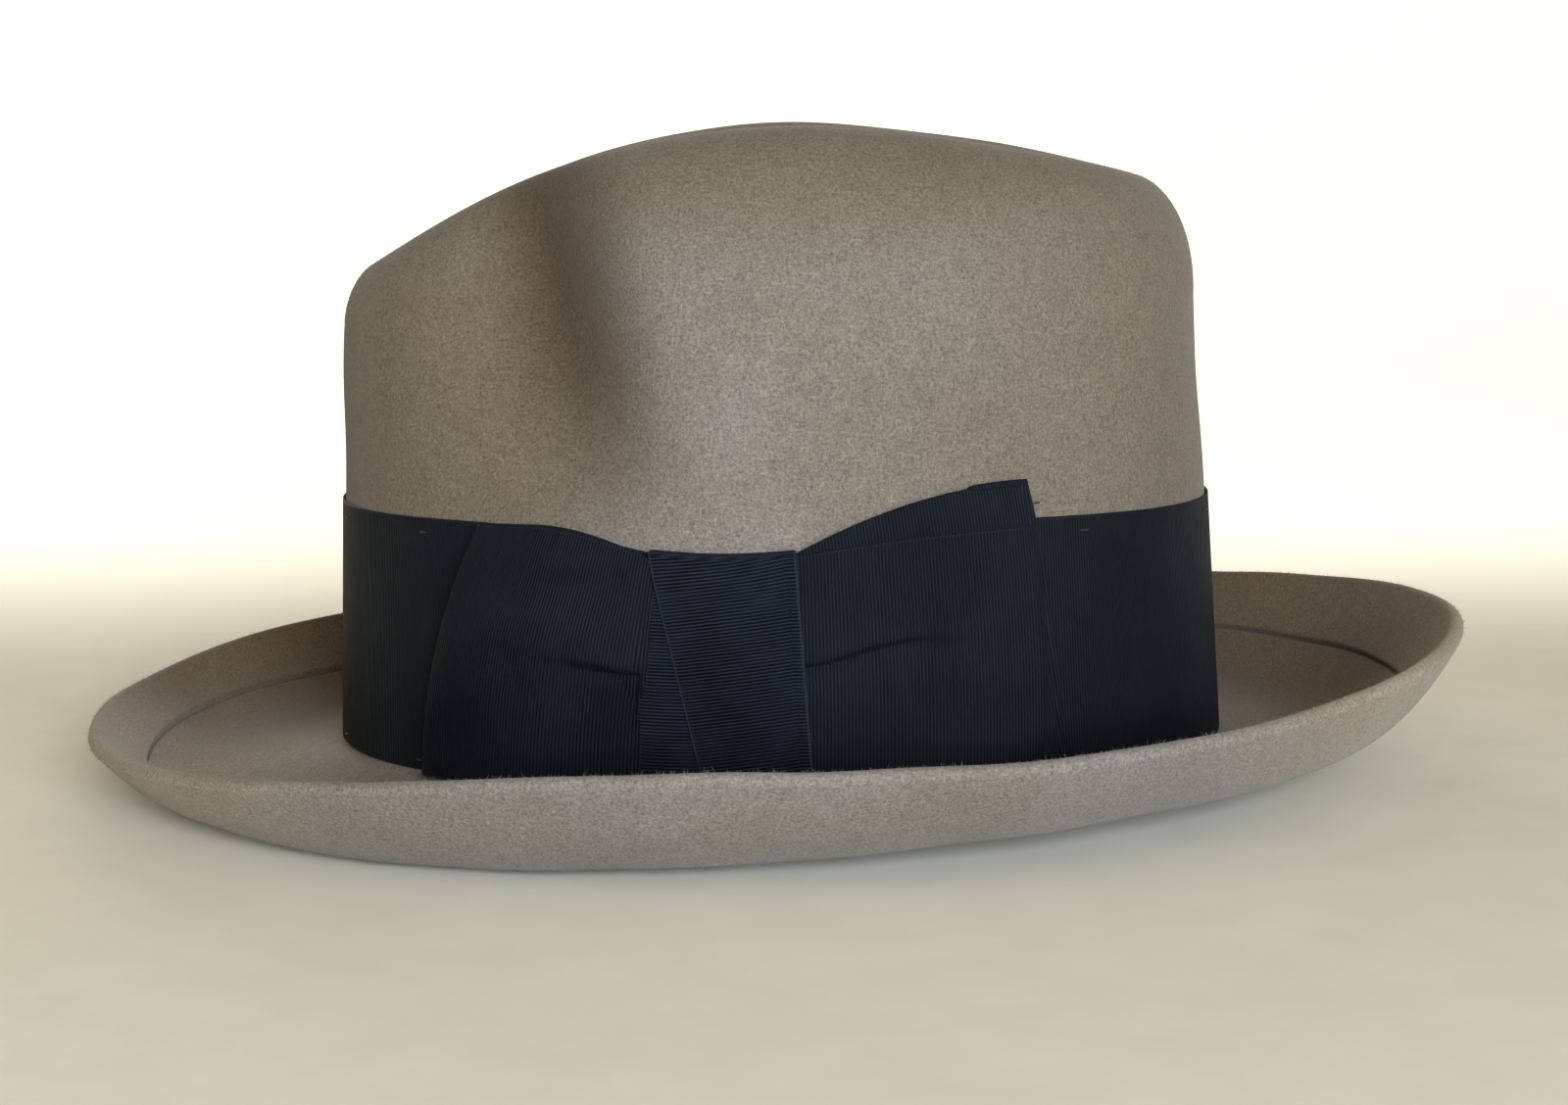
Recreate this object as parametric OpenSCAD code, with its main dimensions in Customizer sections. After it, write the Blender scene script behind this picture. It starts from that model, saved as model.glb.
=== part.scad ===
// Felt fedora hat with a pinched teardrop crown, welted brim, grosgrain band and side bow.
// The front of the hat faces -Y, the bow is on the wearer's left side, +X, and +Z is up.
// The origin is the centre of the head opening, at the height where the crown meets the brim.
// The angle t runs round the hat: -90 is the front, 0 the bow side, 90 the back.

/* [Crown] */
// Length of the crown at the brim, front to back, outside the felt
crown_len = 204.8; // [196:0.2:214]
// Width of the crown at the brim, outside the felt
crown_wid = 175; // [168:1:184]
// Height at which the crown wall starts to round over, at the front
wall_front = 97; // [92:1:102]
// Height at which the crown wall starts to round over, at the back
wall_back = 101.5; // [96:0.5:106]
// Height at which the crown wall starts to round over, at the sides
wall_side = 82.5; // [80:0.5:88]
// Height of the crown's ridge at the front
ridge_front = 110.5; // [104:0.5:116]
// Height of the crown's ridge at the back
ridge_back = 129.5; // [124:0.5:134]
// Height of the crown's ridge at the sides
ridge_side = 141.5; // [136:0.5:148]
// Half width between the two side ridges
ridge_half = 47; // [43:1:51]
// Height of the floor of the crease along the top
crease_floor = 110; // [102:1:112]
// How far the front pinch draws the crown in, as a share of its half width
pinch = 0.34; // [0.2:0.02:0.4]

/* [Brim] */
// Reach of the brim edge in front of the origin
brim_front = 158; // [152:1:168]
// Reach of the brim edge behind the origin
brim_back = 157; // [150:1:166]
// Half width of the brim at the sides
brim_half = 141.5; // [137:1:149]
// Height of the brim edge at the front
edge_front = 6; // [2:0.5:10]
// Height of the brim edge at the back
edge_back = 26.5; // [20:0.5:30]
// Height of the brim edge at the sides
edge_side = 17.5; // [13:0.5:22]
// Width of the felt welt folded back on the brim edge
welt_w = 11; // [8:0.5:14]

/* [Felt] */
// Thickness of the felt
felt_t = 1.9; // [1.6:0.1:2.4]

/* [Band and bow] */
// Height of the grosgrain band
band_h = 55; // [50:1:58]
// Thickness of the grosgrain ribbon
ribbon_t = 0.5; // [0.4:0.05:0.6]
// Height of the bow at its knot
knot_h = 50; // [47:1:52]
// How far the two loops of the bow stand out in their middle
belly = 2.6; // [1.5:0.1:3.5]

/* [Inside] */
// Height of the leather sweatband
sweat_h = 48; // [42:1:50]
// Thickness of the leather
leather_t = 1; // [0.8:0.1:1.2]
// Diameter of the reed in the bottom edge of the sweatband
reed_d = 1.6; // [1.2:0.1:1.8]

/* [Hidden] */

felt_color = [0.55, 0.51, 0.47];
ribbon_color = [0.10, 0.13, 0.17];
leather_color = [0.45, 0.27, 0.15];
thread_color = [0.80, 0.74, 0.62];
lining_color = [0.70, 0.62, 0.50];

crown_a = crown_len / 2;
crown_b = crown_wid / 2;
wall_z = [wall_front, wall_back, wall_side];
ridge_z = [ridge_front, ridge_back, ridge_side];
edge_z = [edge_front, edge_back, edge_side];
break_z = [0, 0, 2.9];          // height of the brim break: front, back, sides
wall_in = [0.975, 0.938, 0.93]; // share of the plan left at the top of the wall
wall_pow = 1.12;                // how late the wall draws in
ridge_reach = [92, 79];         // reach of the ridge to the front and to the back
corner = [1.12, 0.92, 1];       // fullness of the rounded shoulder
crease_y = -12;                 // place of the lowest point of the crease
crown_full = 0.012;             // how far the crown's plan is fuller than an ellipse
brim_full = [0.045, -0.02];     // the same for the front and the back half of the brim
edge_wave = 1.9;                // droop of the brim edge between front, side and back
dip = [-5, 1, -2.6];            // height of the brim part way out
dip_skew = 7.6;                 // extra dip of the front quarters over the back ones
dip_at = 0.55;                  // where that height is measured, as a share of the width
curl = 3.6;                     // how suddenly the brim curls up
welt_t = 1.6;                   // thickness of the folded welt
pinch_len = [34, 16];           // how far the pinch spreads to the front and to the back
pinch_z = [62, 114];            // heights between which the pinch deepens
pinch_y = [-41, -54];           // place of the pinch at those heights
low_pinch = 0.24;               // share of the pinch that is left low down
low_pinch_z = [53, 70];         // heights between which that low part starts
break_r = 1.6;                  // radius of the brim break

around = 60;                    // steps round the hat
tick = 360 / around;
gap = 0.15;                     // clearance between pieces that lie on each other
lining_t = 0.3;                 // thickness of the lining
thread_r = 0.3;                 // radius of the sewing thread

// ---- small maths ----
function unit(v) = v / norm(v);
function mix(a, b, s) = a + (b - a) * s;
function ease(s) = s * s * (3 - 2 * s);
function clamp01(s) = min(1, max(0, s));
function by_side(v, t) = (sin(t) < 0 ? v[0] : v[1]) * sin(t)^2 + v[2] * cos(t)^2;
function plan(a, b, full, t) = [b * cos(t), a * sin(t)] * (1 + full * sin(2 * t)^2);

// ---- the outer skin of the felt ----
function share(span, x) = (x - span[0]) / (span[1] - span[0]);
function pinched(p) =
    let (s = share(pinch_z, p.z),
         low = low_pinch * ease(clamp01(share(low_pinch_z, p.z))),
         away = p.y - mix(pinch_y[0], pinch_y[1], s),
         along = exp(-(away / (away < 0 ? pinch_len[0] : pinch_len[1]))^2),
         d = pinch * along * mix(low, 1, ease(clamp01(s))))
    [p.x * (1 - d), p.y, p.z];

function wall(t, u) =
    let (f = 1 + (by_side(wall_in, t) - 1) * max(u, 0)^wall_pow,
         p = plan(crown_a, crown_b, crown_full, t) * f)
    [p.x, p.y, mix(by_side(break_z, t), by_side(wall_z, t), u)];

function ridge(t) =
    [ridge_half * cos(t), (sin(t) < 0 ? ridge_reach[0] : ridge_reach[1]) * sin(t), by_side(ridge_z, t)];

function shoulder(t, u) =
    let (w = wall(t, 1), r = ridge(t), k = by_side(corner, t),
         c = max(cos(90 * u), 0)^k, s = sin(90 * u)^k)
    [mix(r.x, w.x, c), mix(r.y, w.y, c), mix(w.z, r.z, s)];

function crease(t, u) =
    let (r = ridge(t))
    [r.x * (1 - u), mix(r.y, crease_y, u), mix(r.z, crease_floor, ease(u))];

// v is 0 at the brim break, 1 at the top of the wall, 2 on the ridge and 3 in the crease
function crown(t, v) = pinched(v <= 1 ? wall(t, v) : v <= 2 ? shoulder(t, v - 1) : crease(t, v - 2));

// w is 0 at the brim break and 1 at the brim edge
function brim(t, w) =
    let (in = plan(crown_a, crown_b, crown_full, t),
         out = plan(sin(t) < 0 ? brim_front : brim_back, brim_half,
                    sin(t) < 0 ? brim_full[0] : brim_full[1], t),
         p = mix(in, out, w),
         z0 = by_side(break_z, t),
         rise = by_side(edge_z, t) - edge_wave * sin(2 * t)^2 - z0,
         low = by_side(dip, t) + dip_skew * sin(t) * cos(t)^2 - z0,
         c = (rise - low / dip_at) / (1 - dip_at^(curl - 1)))
    [p.x, p.y, z0 + (rise - c) * w + c * w^curl];

function brim_width(t) = norm(brim(t, 1) - brim(t, 0));

// the rounded corner where the crown turns into the brim, s from 0 to 1
function brim_break(t, s) =
    let (a = crown(t, break_r / by_side(wall_z, t)), c = crown(t, 0), b = brim(t, break_r / brim_width(t)))
    a * (1 - s)^2 + c * 2 * s * (1 - s) + b * s^2;

crease_v = [2.88, 2.7, 2.5, 2.32, 2.16];
shoulder_v = [2, 1.86, 1.72, 1.56, 1.4, 1.24, 1.12];
wall_v = [1, 0.78, 0.6, 0.26];
crown_v = concat(crease_v, shoulder_v, wall_v);
welt_at = 1 - welt_w / 58;
brim_w = [0.06, 0.25, 0.45, 0.62, 0.74, welt_at];
welt_ws = [welt_at, 0.9, 1];

function crown_rings(vs) = [for (v = vs) [for (j = [0 : around - 1]) crown(j * tick, v)]];
function break_rings() = [for (s = [0, 0.5]) [for (j = [0 : around - 1]) brim_break(j * tick, s)]];
function brim_rings(ws) = [for (w = ws) [for (j = [0 : around - 1]) brim(j * tick, w)]];

// unit normals of a grid of rings, pointing to the outside of the hat
function normals(g) =
    let (m = len(g) - 1, n = len(g[0]))
    [for (i = [0 : m]) [for (j = [0 : n - 1])
        unit(cross(g[min(i + 1, m)][j] - g[max(i - 1, 0)][j],
                   g[i][(j + 1) % n] - g[i][(j + n - 1) % n]))]];
function moved(g, n, d) = [for (i = [0 : len(g) - 1]) [for (j = [0 : len(g[0]) - 1]) g[i][j] + n[i][j] * d]];
function slice(g, from, to) = [for (i = [from : to]) g[i]];
function reversed(g) = [for (i = [len(g) - 1 : -1 : 0]) g[i]];

// ---- closed surfaces ----
// the two triangles of a cell with corners a, b, c, d in order, cut along a-c or along b-d
function cell(a, b, c, d, other_cut) = other_cut ? [[a, b, d], [b, c, d]] : [[a, b, c], [a, c, d]];

// a shell like a sphere: a first pole, rings, and a last pole
module poled_shell(first, rings, last, other_cut = false) {
    n = len(rings[0]);
    m = len(rings);
    points = concat([first], [for (r = rings) each r], [last]);
    faces = concat(
        [for (j = [0 : n - 1]) [0, 1 + (j + 1) % n, 1 + j]],
        [for (i = [0 : m - 2], j = [0 : n - 1])
            each let (a = 1 + i * n + j, b = 1 + i * n + (j + 1) % n) cell(a, b, b + n, a + n, other_cut)],
        [for (j = [0 : n - 1]) [m * n + 1, 1 + (m - 1) * n + j, 1 + (m - 1) * n + (j + 1) % n]]);
    polyhedron(points, faces);
}

// faces of a bar of sections: each section lists its outer points from top to bottom and then
// its inner points from bottom to top
function bar_faces(count, k, closed, other_cut) = concat(
    [for (j = [0 : count - (closed ? 1 : 2)], i = [0 : k - 1])
        each let (down = (i + 1) % k, next = ((j + 1) % count) * k)
        cell(j * k + i, next + i, next + down, j * k + down, other_cut)],
    closed ? [] : [for (i = [0 : k / 2 - 2], e = [0, 1])
        each let (s = e * (count - 1) * k,
                  a = s + i, b = s + i + 1, c = s + k - 2 - i, d = s + k - 1 - i)
        e == 0 ? [[a, b, c], [a, c, d]] : [[c, b, a], [d, c, a]]]);
module bar(sections, closed = false, other_cut = false) {
    polyhedron([for (s = sections) each s], bar_faces(len(sections), len(sections[0]), closed, other_cut));
}

// one stitch of thread: a thin spindle between two points, as points and as faces
function stitch_points(a, b, r) =
    let (d = unit(b - a), n = unit(cross(d, abs(d.z) > 0.8 ? [1, 0, 0] : [0, 0, 1])),
         m = cross(d, n), c = (a + b) / 2)
    [a, c + n * r, c + m * r, c - n * r, c - m * r, b];
function stitch_faces(k) =
    [for (i = [0 : 3]) each [[k, k + 1 + (i + 1) % 4, k + 1 + i], [k + 5, k + 1 + i, k + 1 + (i + 1) % 4]]];
module stitches(pairs) {
    polyhedron([for (p = pairs) each stitch_points(p[0], p[1], thread_r)],
               [for (i = [0 : len(pairs) - 1]) each stitch_faces(6 * i)]);
}

// ---- places on the crown wall ----
// the point at angle t and height z, d outside the felt's outer skin
function on_wall(t, z, d) =
    let (z0 = by_side(break_z, t), p = wall(t, (z - z0) / (by_side(wall_z, t) - z0)),
         n = unit([cos(t) / crown_b, sin(t) / crown_a, 0]))
    p + n * d;

// ---- felt ----
module felt_body() {
    skin = concat(crown_rings(crown_v), break_rings(), brim_rings(concat(brim_w, [1])));
    out = normals(skin);
    last = len(skin) - 1;
    welt = brim_rings(welt_ws);
    welt_out = normals(welt);
    edge_mid = (welt_t - felt_t) / 2;
    edge_r = (welt_t + felt_t) / 2;
    edge = [for (f = [50, 0, -50]) [for (j = [0 : around - 1])
        let (n = out[last][j], along = unit(skin[last][j] - skin[last - 1][j]))
        skin[last][j] + n * (edge_mid + edge_r * sin(f)) + along * edge_r * cos(f)]];
    color(felt_color)
        poled_shell([0, crease_y, crease_floor],
                    concat(slice(skin, 0, last - 1), moved(welt, welt_out, welt_t), edge,
                           reversed(moved(skin, out, -felt_t))),
                    [0, crease_y, crease_floor - felt_t]);
}

// ---- grosgrain band ----
band_low = 1.5;                 // gap between the band and the brim
knot_t = [-16, 1.2, -9, 3];     // knot's edges: front and back at the top, then at the bottom
knot_mid = -7;
band_dip = 8;                   // how far the knot draws the band's top edge down
band_dip_w = 18;                // angle over which that dip spreads
function band_bottom(t) = by_side(break_z, t) + band_low;
function band_top(t) =
    by_side(break_z, t) + band_low + band_h - band_dip * exp(-((t - knot_mid) / band_dip_w)^2);

// one section of ribbon standing on the wall at angle t, from height a down to height b
function standing(t, a, b, d) =
    [for (face = [1, 0], k = face > 0 ? [0 : 3] : [3 : -1 : 0])
        on_wall(t, mix(a, b, k / 3), d + face * ribbon_t)];

// the band starts just behind the middle of the knot, goes round, and ends before it
module band_ribbon() {
    start = knot_mid + 2.5;
    turn = 355;
    steps = 84;
    color(ribbon_color)
        bar([for (j = [0 : steps])
            let (t = start + turn * j / steps, u = t > 180 ? t - 360 : t)
            standing(t, band_top(u), band_bottom(u), gap)]);
}

module band_tacks() {
    places = [40, 75, 105, 140, 180, 220, 255, 285, 310];
    half = 0.7;                 // half angle that a tack spans
    over_low = 2;               // how far the tacks lie inside the band's edges
    under_top = 3;
    color(ribbon_color)
        stitches([for (t = places, up = [over_low, band_h - under_top])
            let (z = band_bottom(t) + up)
            [on_wall(t - half, z, layer), on_wall(t + half, z, layer)]]);
}

// ---- bow ----
bow_low = 1.5;                  // gap between the bow and the brim
layer = ribbon_t + gap;
fan_d = 2 * layer + gap;        // how far the fan's inner face stands off the felt
loop_d = 3 * layer + gap + ribbon_t / 2;
under_d = 6.2 * layer;
knot_d = 7.6 * layer;
mm_per_deg = 1.72;              // length on the side wall of one degree
fan_edge = [31.2, 35];          // fan's cut edge at the top and at the bottom
rear_edge = 32;                 // rear loop's fold
fan_rise = 14.5;                // how far the tops of the fan and the loops rise over the knot's
rear_rise = 5.6;
front_rise = 6.8;
tuck = 0.4;                     // how far the loops start below the knot's top
front_edge = [-38.5, -47];      // front loop's fold at the top and at the bottom
function bow_bottom(t) = by_side(break_z, t) + bow_low;
function knot_top(t) = knot_h + by_side(break_z, t);

function arch(s) = 1 - (1 - clamp01(s))^2;
function from_knot_rear(t) = arch((t - 1) / 31);
function from_knot_front(t) = sin(90 * clamp01((-16 - t) / 15));
function fan_top(t) = knot_top(t) + fan_rise * from_knot_rear(t);
function rear_top(t) = knot_top(t) - tuck + rear_rise * from_knot_rear(t);
function front_top(t) = knot_top(t) - tuck + front_rise * from_knot_front(t);

module bow_fan() {
    color(ribbon_color)
        bar([for (j = [0 : 14])
            [for (face = [1, 0], k = face > 0 ? [0 : 6] : [6 : -1 : 0])
                let (s = k / 6, edge = mix(fan_edge[0], fan_edge[1], arch(s)),
                     t = mix(knot_mid + 1, edge, j / 14))
                on_wall(t, mix(fan_top(t), bow_bottom(t), s), fan_d + face * ribbon_t)]]);
}

// the mid line of a loop: [share of its length, distance off the felt], from the knot out along
// the front layer, round the fold and back along the layer underneath
loop_steps = 10;
loop_lift = 1.6 * layer;        // distance between the loop's layers where they are flat
knot_share = 0.24;              // share of a loop's length that lies under the knot
function loop_line(length) = concat(
    [[0, loop_d + loop_lift]],
    [for (i = [0 : loop_steps]) let (q = 90 * i / loop_steps)
        [mix(knot_share, 1, sin(q)), loop_d + loop_lift + belly * sin(2 * q)]],
    [[1 + loop_lift / 2 / length, loop_d + loop_lift / 2]],
    [for (i = [0 : loop_steps]) [1 - i / loop_steps, loop_d]]);
function turned(line, length) =
    [for (i = [0 : len(line) - 1])
        let (d = line[min(i + 1, len(line) - 1)] - line[max(i - 1, 0)])
        unit([-d.y, d.x * length])];
function loop_section(t_in, t_fold_top, t_fold_low, line, side, i, length, dir) =
    [for (face = [1, -1], k = face > 0 ? [0 : 4] : [4 : -1 : 0])
        let (s = k / 4, p = line[i] + [side[i].x / length, side[i].y] * face * ribbon_t / 2,
             t = t_in + (mix(t_fold_top, t_fold_low, arch(s)) - t_in) * p.x,
             top = dir > 0 ? rear_top(t) : front_top(t))
        on_wall(t, mix(top, bow_bottom(t), s), p.y)];

module bow_loop(t_in, t_fold_top, t_fold_low, dir) {
    length = abs(t_fold_low - t_in) * mm_per_deg;
    line = loop_line(length);
    side = turned(line, length);
    sections = [for (i = [0 : len(line) - 1])
        loop_section(t_in, t_fold_top, t_fold_low, line, side, i, length, dir)];
    color(ribbon_color) bar(dir > 0 ? sections : reversed(sections));
}

module bow_loop_rear() bow_loop(knot_mid + 1, rear_edge, rear_edge, 1);
module bow_loop_front() bow_loop(knot_mid - 1, front_edge[0], front_edge[1], -1);

module bow_knot_under() {
    front_t = [-16.2, -17.6];
    color(ribbon_color)
        bar([for (j = [0 : 4])
            [for (face = [1, 0], k = face > 0 ? [0 : 6] : [6 : -1 : 0])
                let (s = k / 6, t = mix(mix(front_t[0], front_t[1], s), knot_mid - 2, j / 4))
                on_wall(t, mix(knot_top(t) - tuck, bow_bottom(t), s), under_d + face * ribbon_t)]]);
}

// the knot is one band round the waist of the bow: down the front, under, and up behind
module bow_knot() {
    back_d = layer + gap + ribbon_t / 2;
    front_d = knot_d + ribbon_t / 2;
    mid = (back_d + front_d) / 2;
    r = (front_d - back_d) / 2;
    low = bow_bottom(0) - 0.5;
    high = knot_top(0) + 0.4;
    turn = 0.8;                 // how far the knot turns past its ends
    front = [for (i = [0 : 8]) [mix(high, low, i / 8), front_d, 0, 1]];
    under = [for (f = [45, 90, 135]) [low - turn * sin(f), mid + r * cos(f), -sin(f), cos(f)]];
    back = [for (i = [0 : 4]) [mix(low, high, i / 4), back_d, 0, -1]];
    over = [for (f = [135, 90, 45]) [high + turn * sin(f), mid + r * cos(f), sin(f), cos(f)]];
    color(ribbon_color)
        bar([for (p = concat(front, under, back, over))
            [for (face = [1, -1], k = face > 0 ? [0 : 4] : [4 : -1 : 0])
                let (z = p[0] + p[2] * face * ribbon_t / 2, s = clamp01((high - z) / (high - low)),
                     t = mix(mix(knot_t[1], knot_t[3], s), mix(knot_t[0], knot_t[2], s), k / 4))
                on_wall(t, z, p[1] + p[3] * face * ribbon_t / 2)]], closed = true);
}

// each tack holds an edge of the bow down to the band: [angle, height, side, height off the felt]
module bow_tacks() {
    places = [[35.1, 12, 1, fan_d], [34.4, 30, 1, fan_d], [33.3, 46, 1, fan_d],
              [-46.8, 12, -1, loop_d], [-42.4, 46, -1, loop_d]];
    inside = 0.2;
    color(ribbon_color)
        stitches([for (c = places)
            [on_wall(c[0] - c[2] * inside, c[1], c[3]), on_wall(c[0] + c[2], c[1], layer)]]);
}

// ---- sweatband ----
reed_gap = felt_t + 0.5;        // clearance between the felt's outer skin and the reed tape
tape_t = 0.3;                   // thickness of the reed tape
slit = 0.5;                     // half angle of the slit at the back
sweat_low = -0.6;               // height of the leather's lower edge over the brim break
reed_in = reed_gap + tape_t + reed_d / 2;
foot_in = reed_gap + 2 * tape_t + reed_d + gap;
top_in = felt_t + 3 * gap + lining_t;
function sweat_z(t, s) = by_side(break_z, t) + sweat_low + sweat_h * s;
function sweat_in(s) = mix(foot_in, top_in, ease(clamp01((s - 0.1) * 3)));
sweat_s = [1, 0.6, 0.43, 0.35, 0.27, 0.19, 0.1, 0];
function sweat_t(j) = 90 + slit + (360 - 2 * slit) * j / around;

module sweatband() {
    color(leather_color)
        bar([for (j = [0 : around]) let (t = sweat_t(j))
            concat([for (s = sweat_s) on_wall(t, sweat_z(t, s), -sweat_in(s))],
                   [for (s = reversed(sweat_s)) on_wall(t, sweat_z(t, s), -sweat_in(s) - leather_t)])]);
}

function reed_z(t) = by_side(break_z, t) + sweat_low + 1.4;
module sweatband_reed() {
    color("white")
        bar([for (j = [0 : around]) let (t = sweat_t(j))
            [for (f = [60 : -60 : -240])
                on_wall(t, reed_z(t) + reed_d / 2 * sin(f), -reed_in + reed_d / 2 * cos(f))]]);
}

// the tape goes down behind the reed, round under it and up to the leather
module reed_tape() {
    r = reed_d / 2 + gap / 2;
    skirt = 7;
    path = concat([[skirt, -r]], [for (f = [0 : 45 : 180]) [-r * sin(f), -r * cos(f)]], [[skirt * 0.5, r]]);
    grow = (r + tape_t) / r;
    color(thread_color)
        bar([for (j = [0 : around]) let (t = sweat_t(j))
            concat([for (p = path)
                       on_wall(t, reed_z(t) + (p.x < 0 ? p.x * grow : p.x), -reed_in - p.y * grow)],
                   [for (p = reversed(path)) on_wall(t, reed_z(t) + p.x, -reed_in - p.y)])]);
}

module sweatband_stitches() {
    count = 150;
    row_s = 0.06;               // height of the row, as a share of the sweatband's height
    start = 92;
    turn = 356;
    stitch_t = 1.3;             // angle that one stitch spans
    color(thread_color)
        stitches([for (j = [0 : count - 1])
            let (t = start + turn * j / count, z = sweat_z(t, row_s), d = -sweat_in(row_s) - leather_t)
            [on_wall(t, z, d), on_wall(t + stitch_t, z, d)]]);
}

// crossed stitches over the slit, one of each pair above the other
module sweatband_back_seam() {
    half_t = 1.3;
    low_s = 0.12;
    step_s = 0.045;
    slant_s = 0.04;
    color(thread_color)
        stitches([for (i = [0 : 6], e = [-1, 1])
            let (s = low_s + step_s * i, d = -sweat_in(s) - leather_t - thread_r * (e + 1.2))
            [on_wall(90 - e * half_t, sweat_z(90, s), d),
             on_wall(90 + e * half_t, sweat_z(90, s + slant_s), d)]]);
}

// ---- small bow on the back of the sweatband ----
tiny_s = 0.56;                  // height of the tiny bow, as a share of the sweatband's height
tiny_half = 7;                  // half angle that it spans
tiny_w = 7;                     // width of its ribbon
tiny_t = 0.35;                  // thickness of its ribbon
tiny_z = by_side(break_z, 90) + sweat_low + sweat_h * tiny_s;
tiny_d = top_in + leather_t + gap;

// each loop is one flat ring of ribbon, tapered to the knot
module sweatband_bow_loops() {
    steps = 12;
    loop_r = 0.9;               // half the loop's depth
    pinch_in = 0.55;            // share of the ribbon's width left at the knot
    mid_d = tiny_d + tiny_t + loop_r;
    color(ribbon_color)
        for (e = [-1, 1])
            bar([for (i = [0 : steps - 1])
                let (f = 360 * i / steps, reach = 0.54 - 0.46 * cos(f),
                     half = tiny_w / 2 * mix(pinch_in, 1, sin(90 * reach)))
                [for (face = [1, 0], k = face > 0 ? [1, 0, -1] : [-1, 0, 1])
                    let (inner = (1 - face) * tiny_t,
                         t = 90 + e * (tiny_half * reach + inner / mm_per_deg * cos(f)),
                         d = mid_d + (loop_r - inner) * sin(f) * e)
                    on_wall(t, tiny_z + k * half, -d)]],
                closed = true);
}

module sweatband_bow_knot() {
    half_z = 2.6;
    near = tiny_d + 2.6;
    far = near + 0.5;
    bulge = 0.3;
    color(ribbon_color)
        bar([for (p = [[88.9, 0], [89.6, bulge], [90.4, bulge], [91.1, 0]])
            concat([for (k = [1, 0, -1]) on_wall(p[0], tiny_z + k * half_z, -near)],
                   [for (k = [-1, 0, 1]) on_wall(p[0], tiny_z + k * half_z, -far - p[1])])]);
}

// ---- lining ----
// the lining follows the rings of the felt: the tip down to ring tip_end, the side from there on
lining_in = felt_t + gap;
lining_skin = crown_rings(crown_v);
lining_out = normals(lining_skin);
tip_end = 7;
side_end = 15;
function lining_face(from, to, d) =
    moved(slice(lining_skin, from, to), slice(lining_out, from, to), -lining_in - d);

module lining_side() {
    outer = lining_face(tip_end, side_end, 0);
    inner = lining_face(tip_end, side_end, lining_t);
    count = side_end - tip_end;
    seam = 0.03;
    color(lining_color)
        bar([for (j = [0 : around - 1])
            concat([mix(outer[0][j], outer[1][j], seam)], [for (i = [1 : count]) outer[i][j]],
                   [for (i = [count : -1 : 1]) inner[i][j]], [mix(inner[0][j], inner[1][j], seam)])],
            closed = true, other_cut = true);
}

module lining_tip() {
    color(lining_color)
        poled_shell([0, crease_y, crease_floor - lining_in],
                    concat(lining_face(0, tip_end, 0), reversed(lining_face(0, tip_end, lining_t))),
                    [0, crease_y, crease_floor - lining_in - lining_t], other_cut = true);
}

module lining_piping() {
    r = 0.8;
    mid = lining_face(tip_end, tip_end, lining_t + r + gap)[0];
    color(lining_color)
        bar([for (j = [0 : around - 1])
            let (out = lining_out[tip_end][j],
                 down = unit(lining_skin[tip_end + 1][j] - lining_skin[tip_end - 1][j]))
            [for (f = [60 : -60 : -240]) mid[j] + (out * cos(f) - down * sin(f)) * r]], closed = true);
}

felt_body();
band_ribbon();
band_tacks();
bow_fan();
bow_loop_rear();
bow_loop_front();
bow_knot_under();
bow_knot();
bow_tacks();
sweatband();
sweatband_reed();
reed_tape();
sweatband_stitches();
sweatband_back_seam();
sweatband_bow_loops();
sweatband_bow_knot();
lining_side();
lining_tip();
lining_piping();
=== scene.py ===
"""A felt fedora with a grosgrain band and a side bow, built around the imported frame.

Shapes are worked out in millimetres and made in metres. The front of the hat faces -Y, the bow is
on +X, and the angle t runs round the hat: -90 is the front, 0 the bow side, 90 the back.
"""

import math

import bpy
import numpy as np
from mathutils import Matrix, Vector


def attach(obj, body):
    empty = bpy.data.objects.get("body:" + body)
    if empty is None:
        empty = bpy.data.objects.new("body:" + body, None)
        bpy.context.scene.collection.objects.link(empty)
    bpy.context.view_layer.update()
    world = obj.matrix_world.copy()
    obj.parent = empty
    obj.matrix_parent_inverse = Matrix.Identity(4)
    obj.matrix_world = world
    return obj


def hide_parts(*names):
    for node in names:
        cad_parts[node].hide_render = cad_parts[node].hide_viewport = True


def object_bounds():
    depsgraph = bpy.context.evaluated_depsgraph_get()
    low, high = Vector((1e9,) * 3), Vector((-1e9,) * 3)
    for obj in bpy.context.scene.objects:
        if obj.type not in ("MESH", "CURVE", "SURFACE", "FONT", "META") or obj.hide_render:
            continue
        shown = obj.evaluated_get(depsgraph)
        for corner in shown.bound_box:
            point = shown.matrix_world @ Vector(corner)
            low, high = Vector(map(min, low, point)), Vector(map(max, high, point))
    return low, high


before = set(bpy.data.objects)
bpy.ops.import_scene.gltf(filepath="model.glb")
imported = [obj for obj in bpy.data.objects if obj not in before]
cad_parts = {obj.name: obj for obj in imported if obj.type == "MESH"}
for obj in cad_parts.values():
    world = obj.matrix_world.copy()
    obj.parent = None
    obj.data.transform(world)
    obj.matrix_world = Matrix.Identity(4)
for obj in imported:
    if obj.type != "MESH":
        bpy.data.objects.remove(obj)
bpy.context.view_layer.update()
rng = np.random.default_rng(7)

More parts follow.
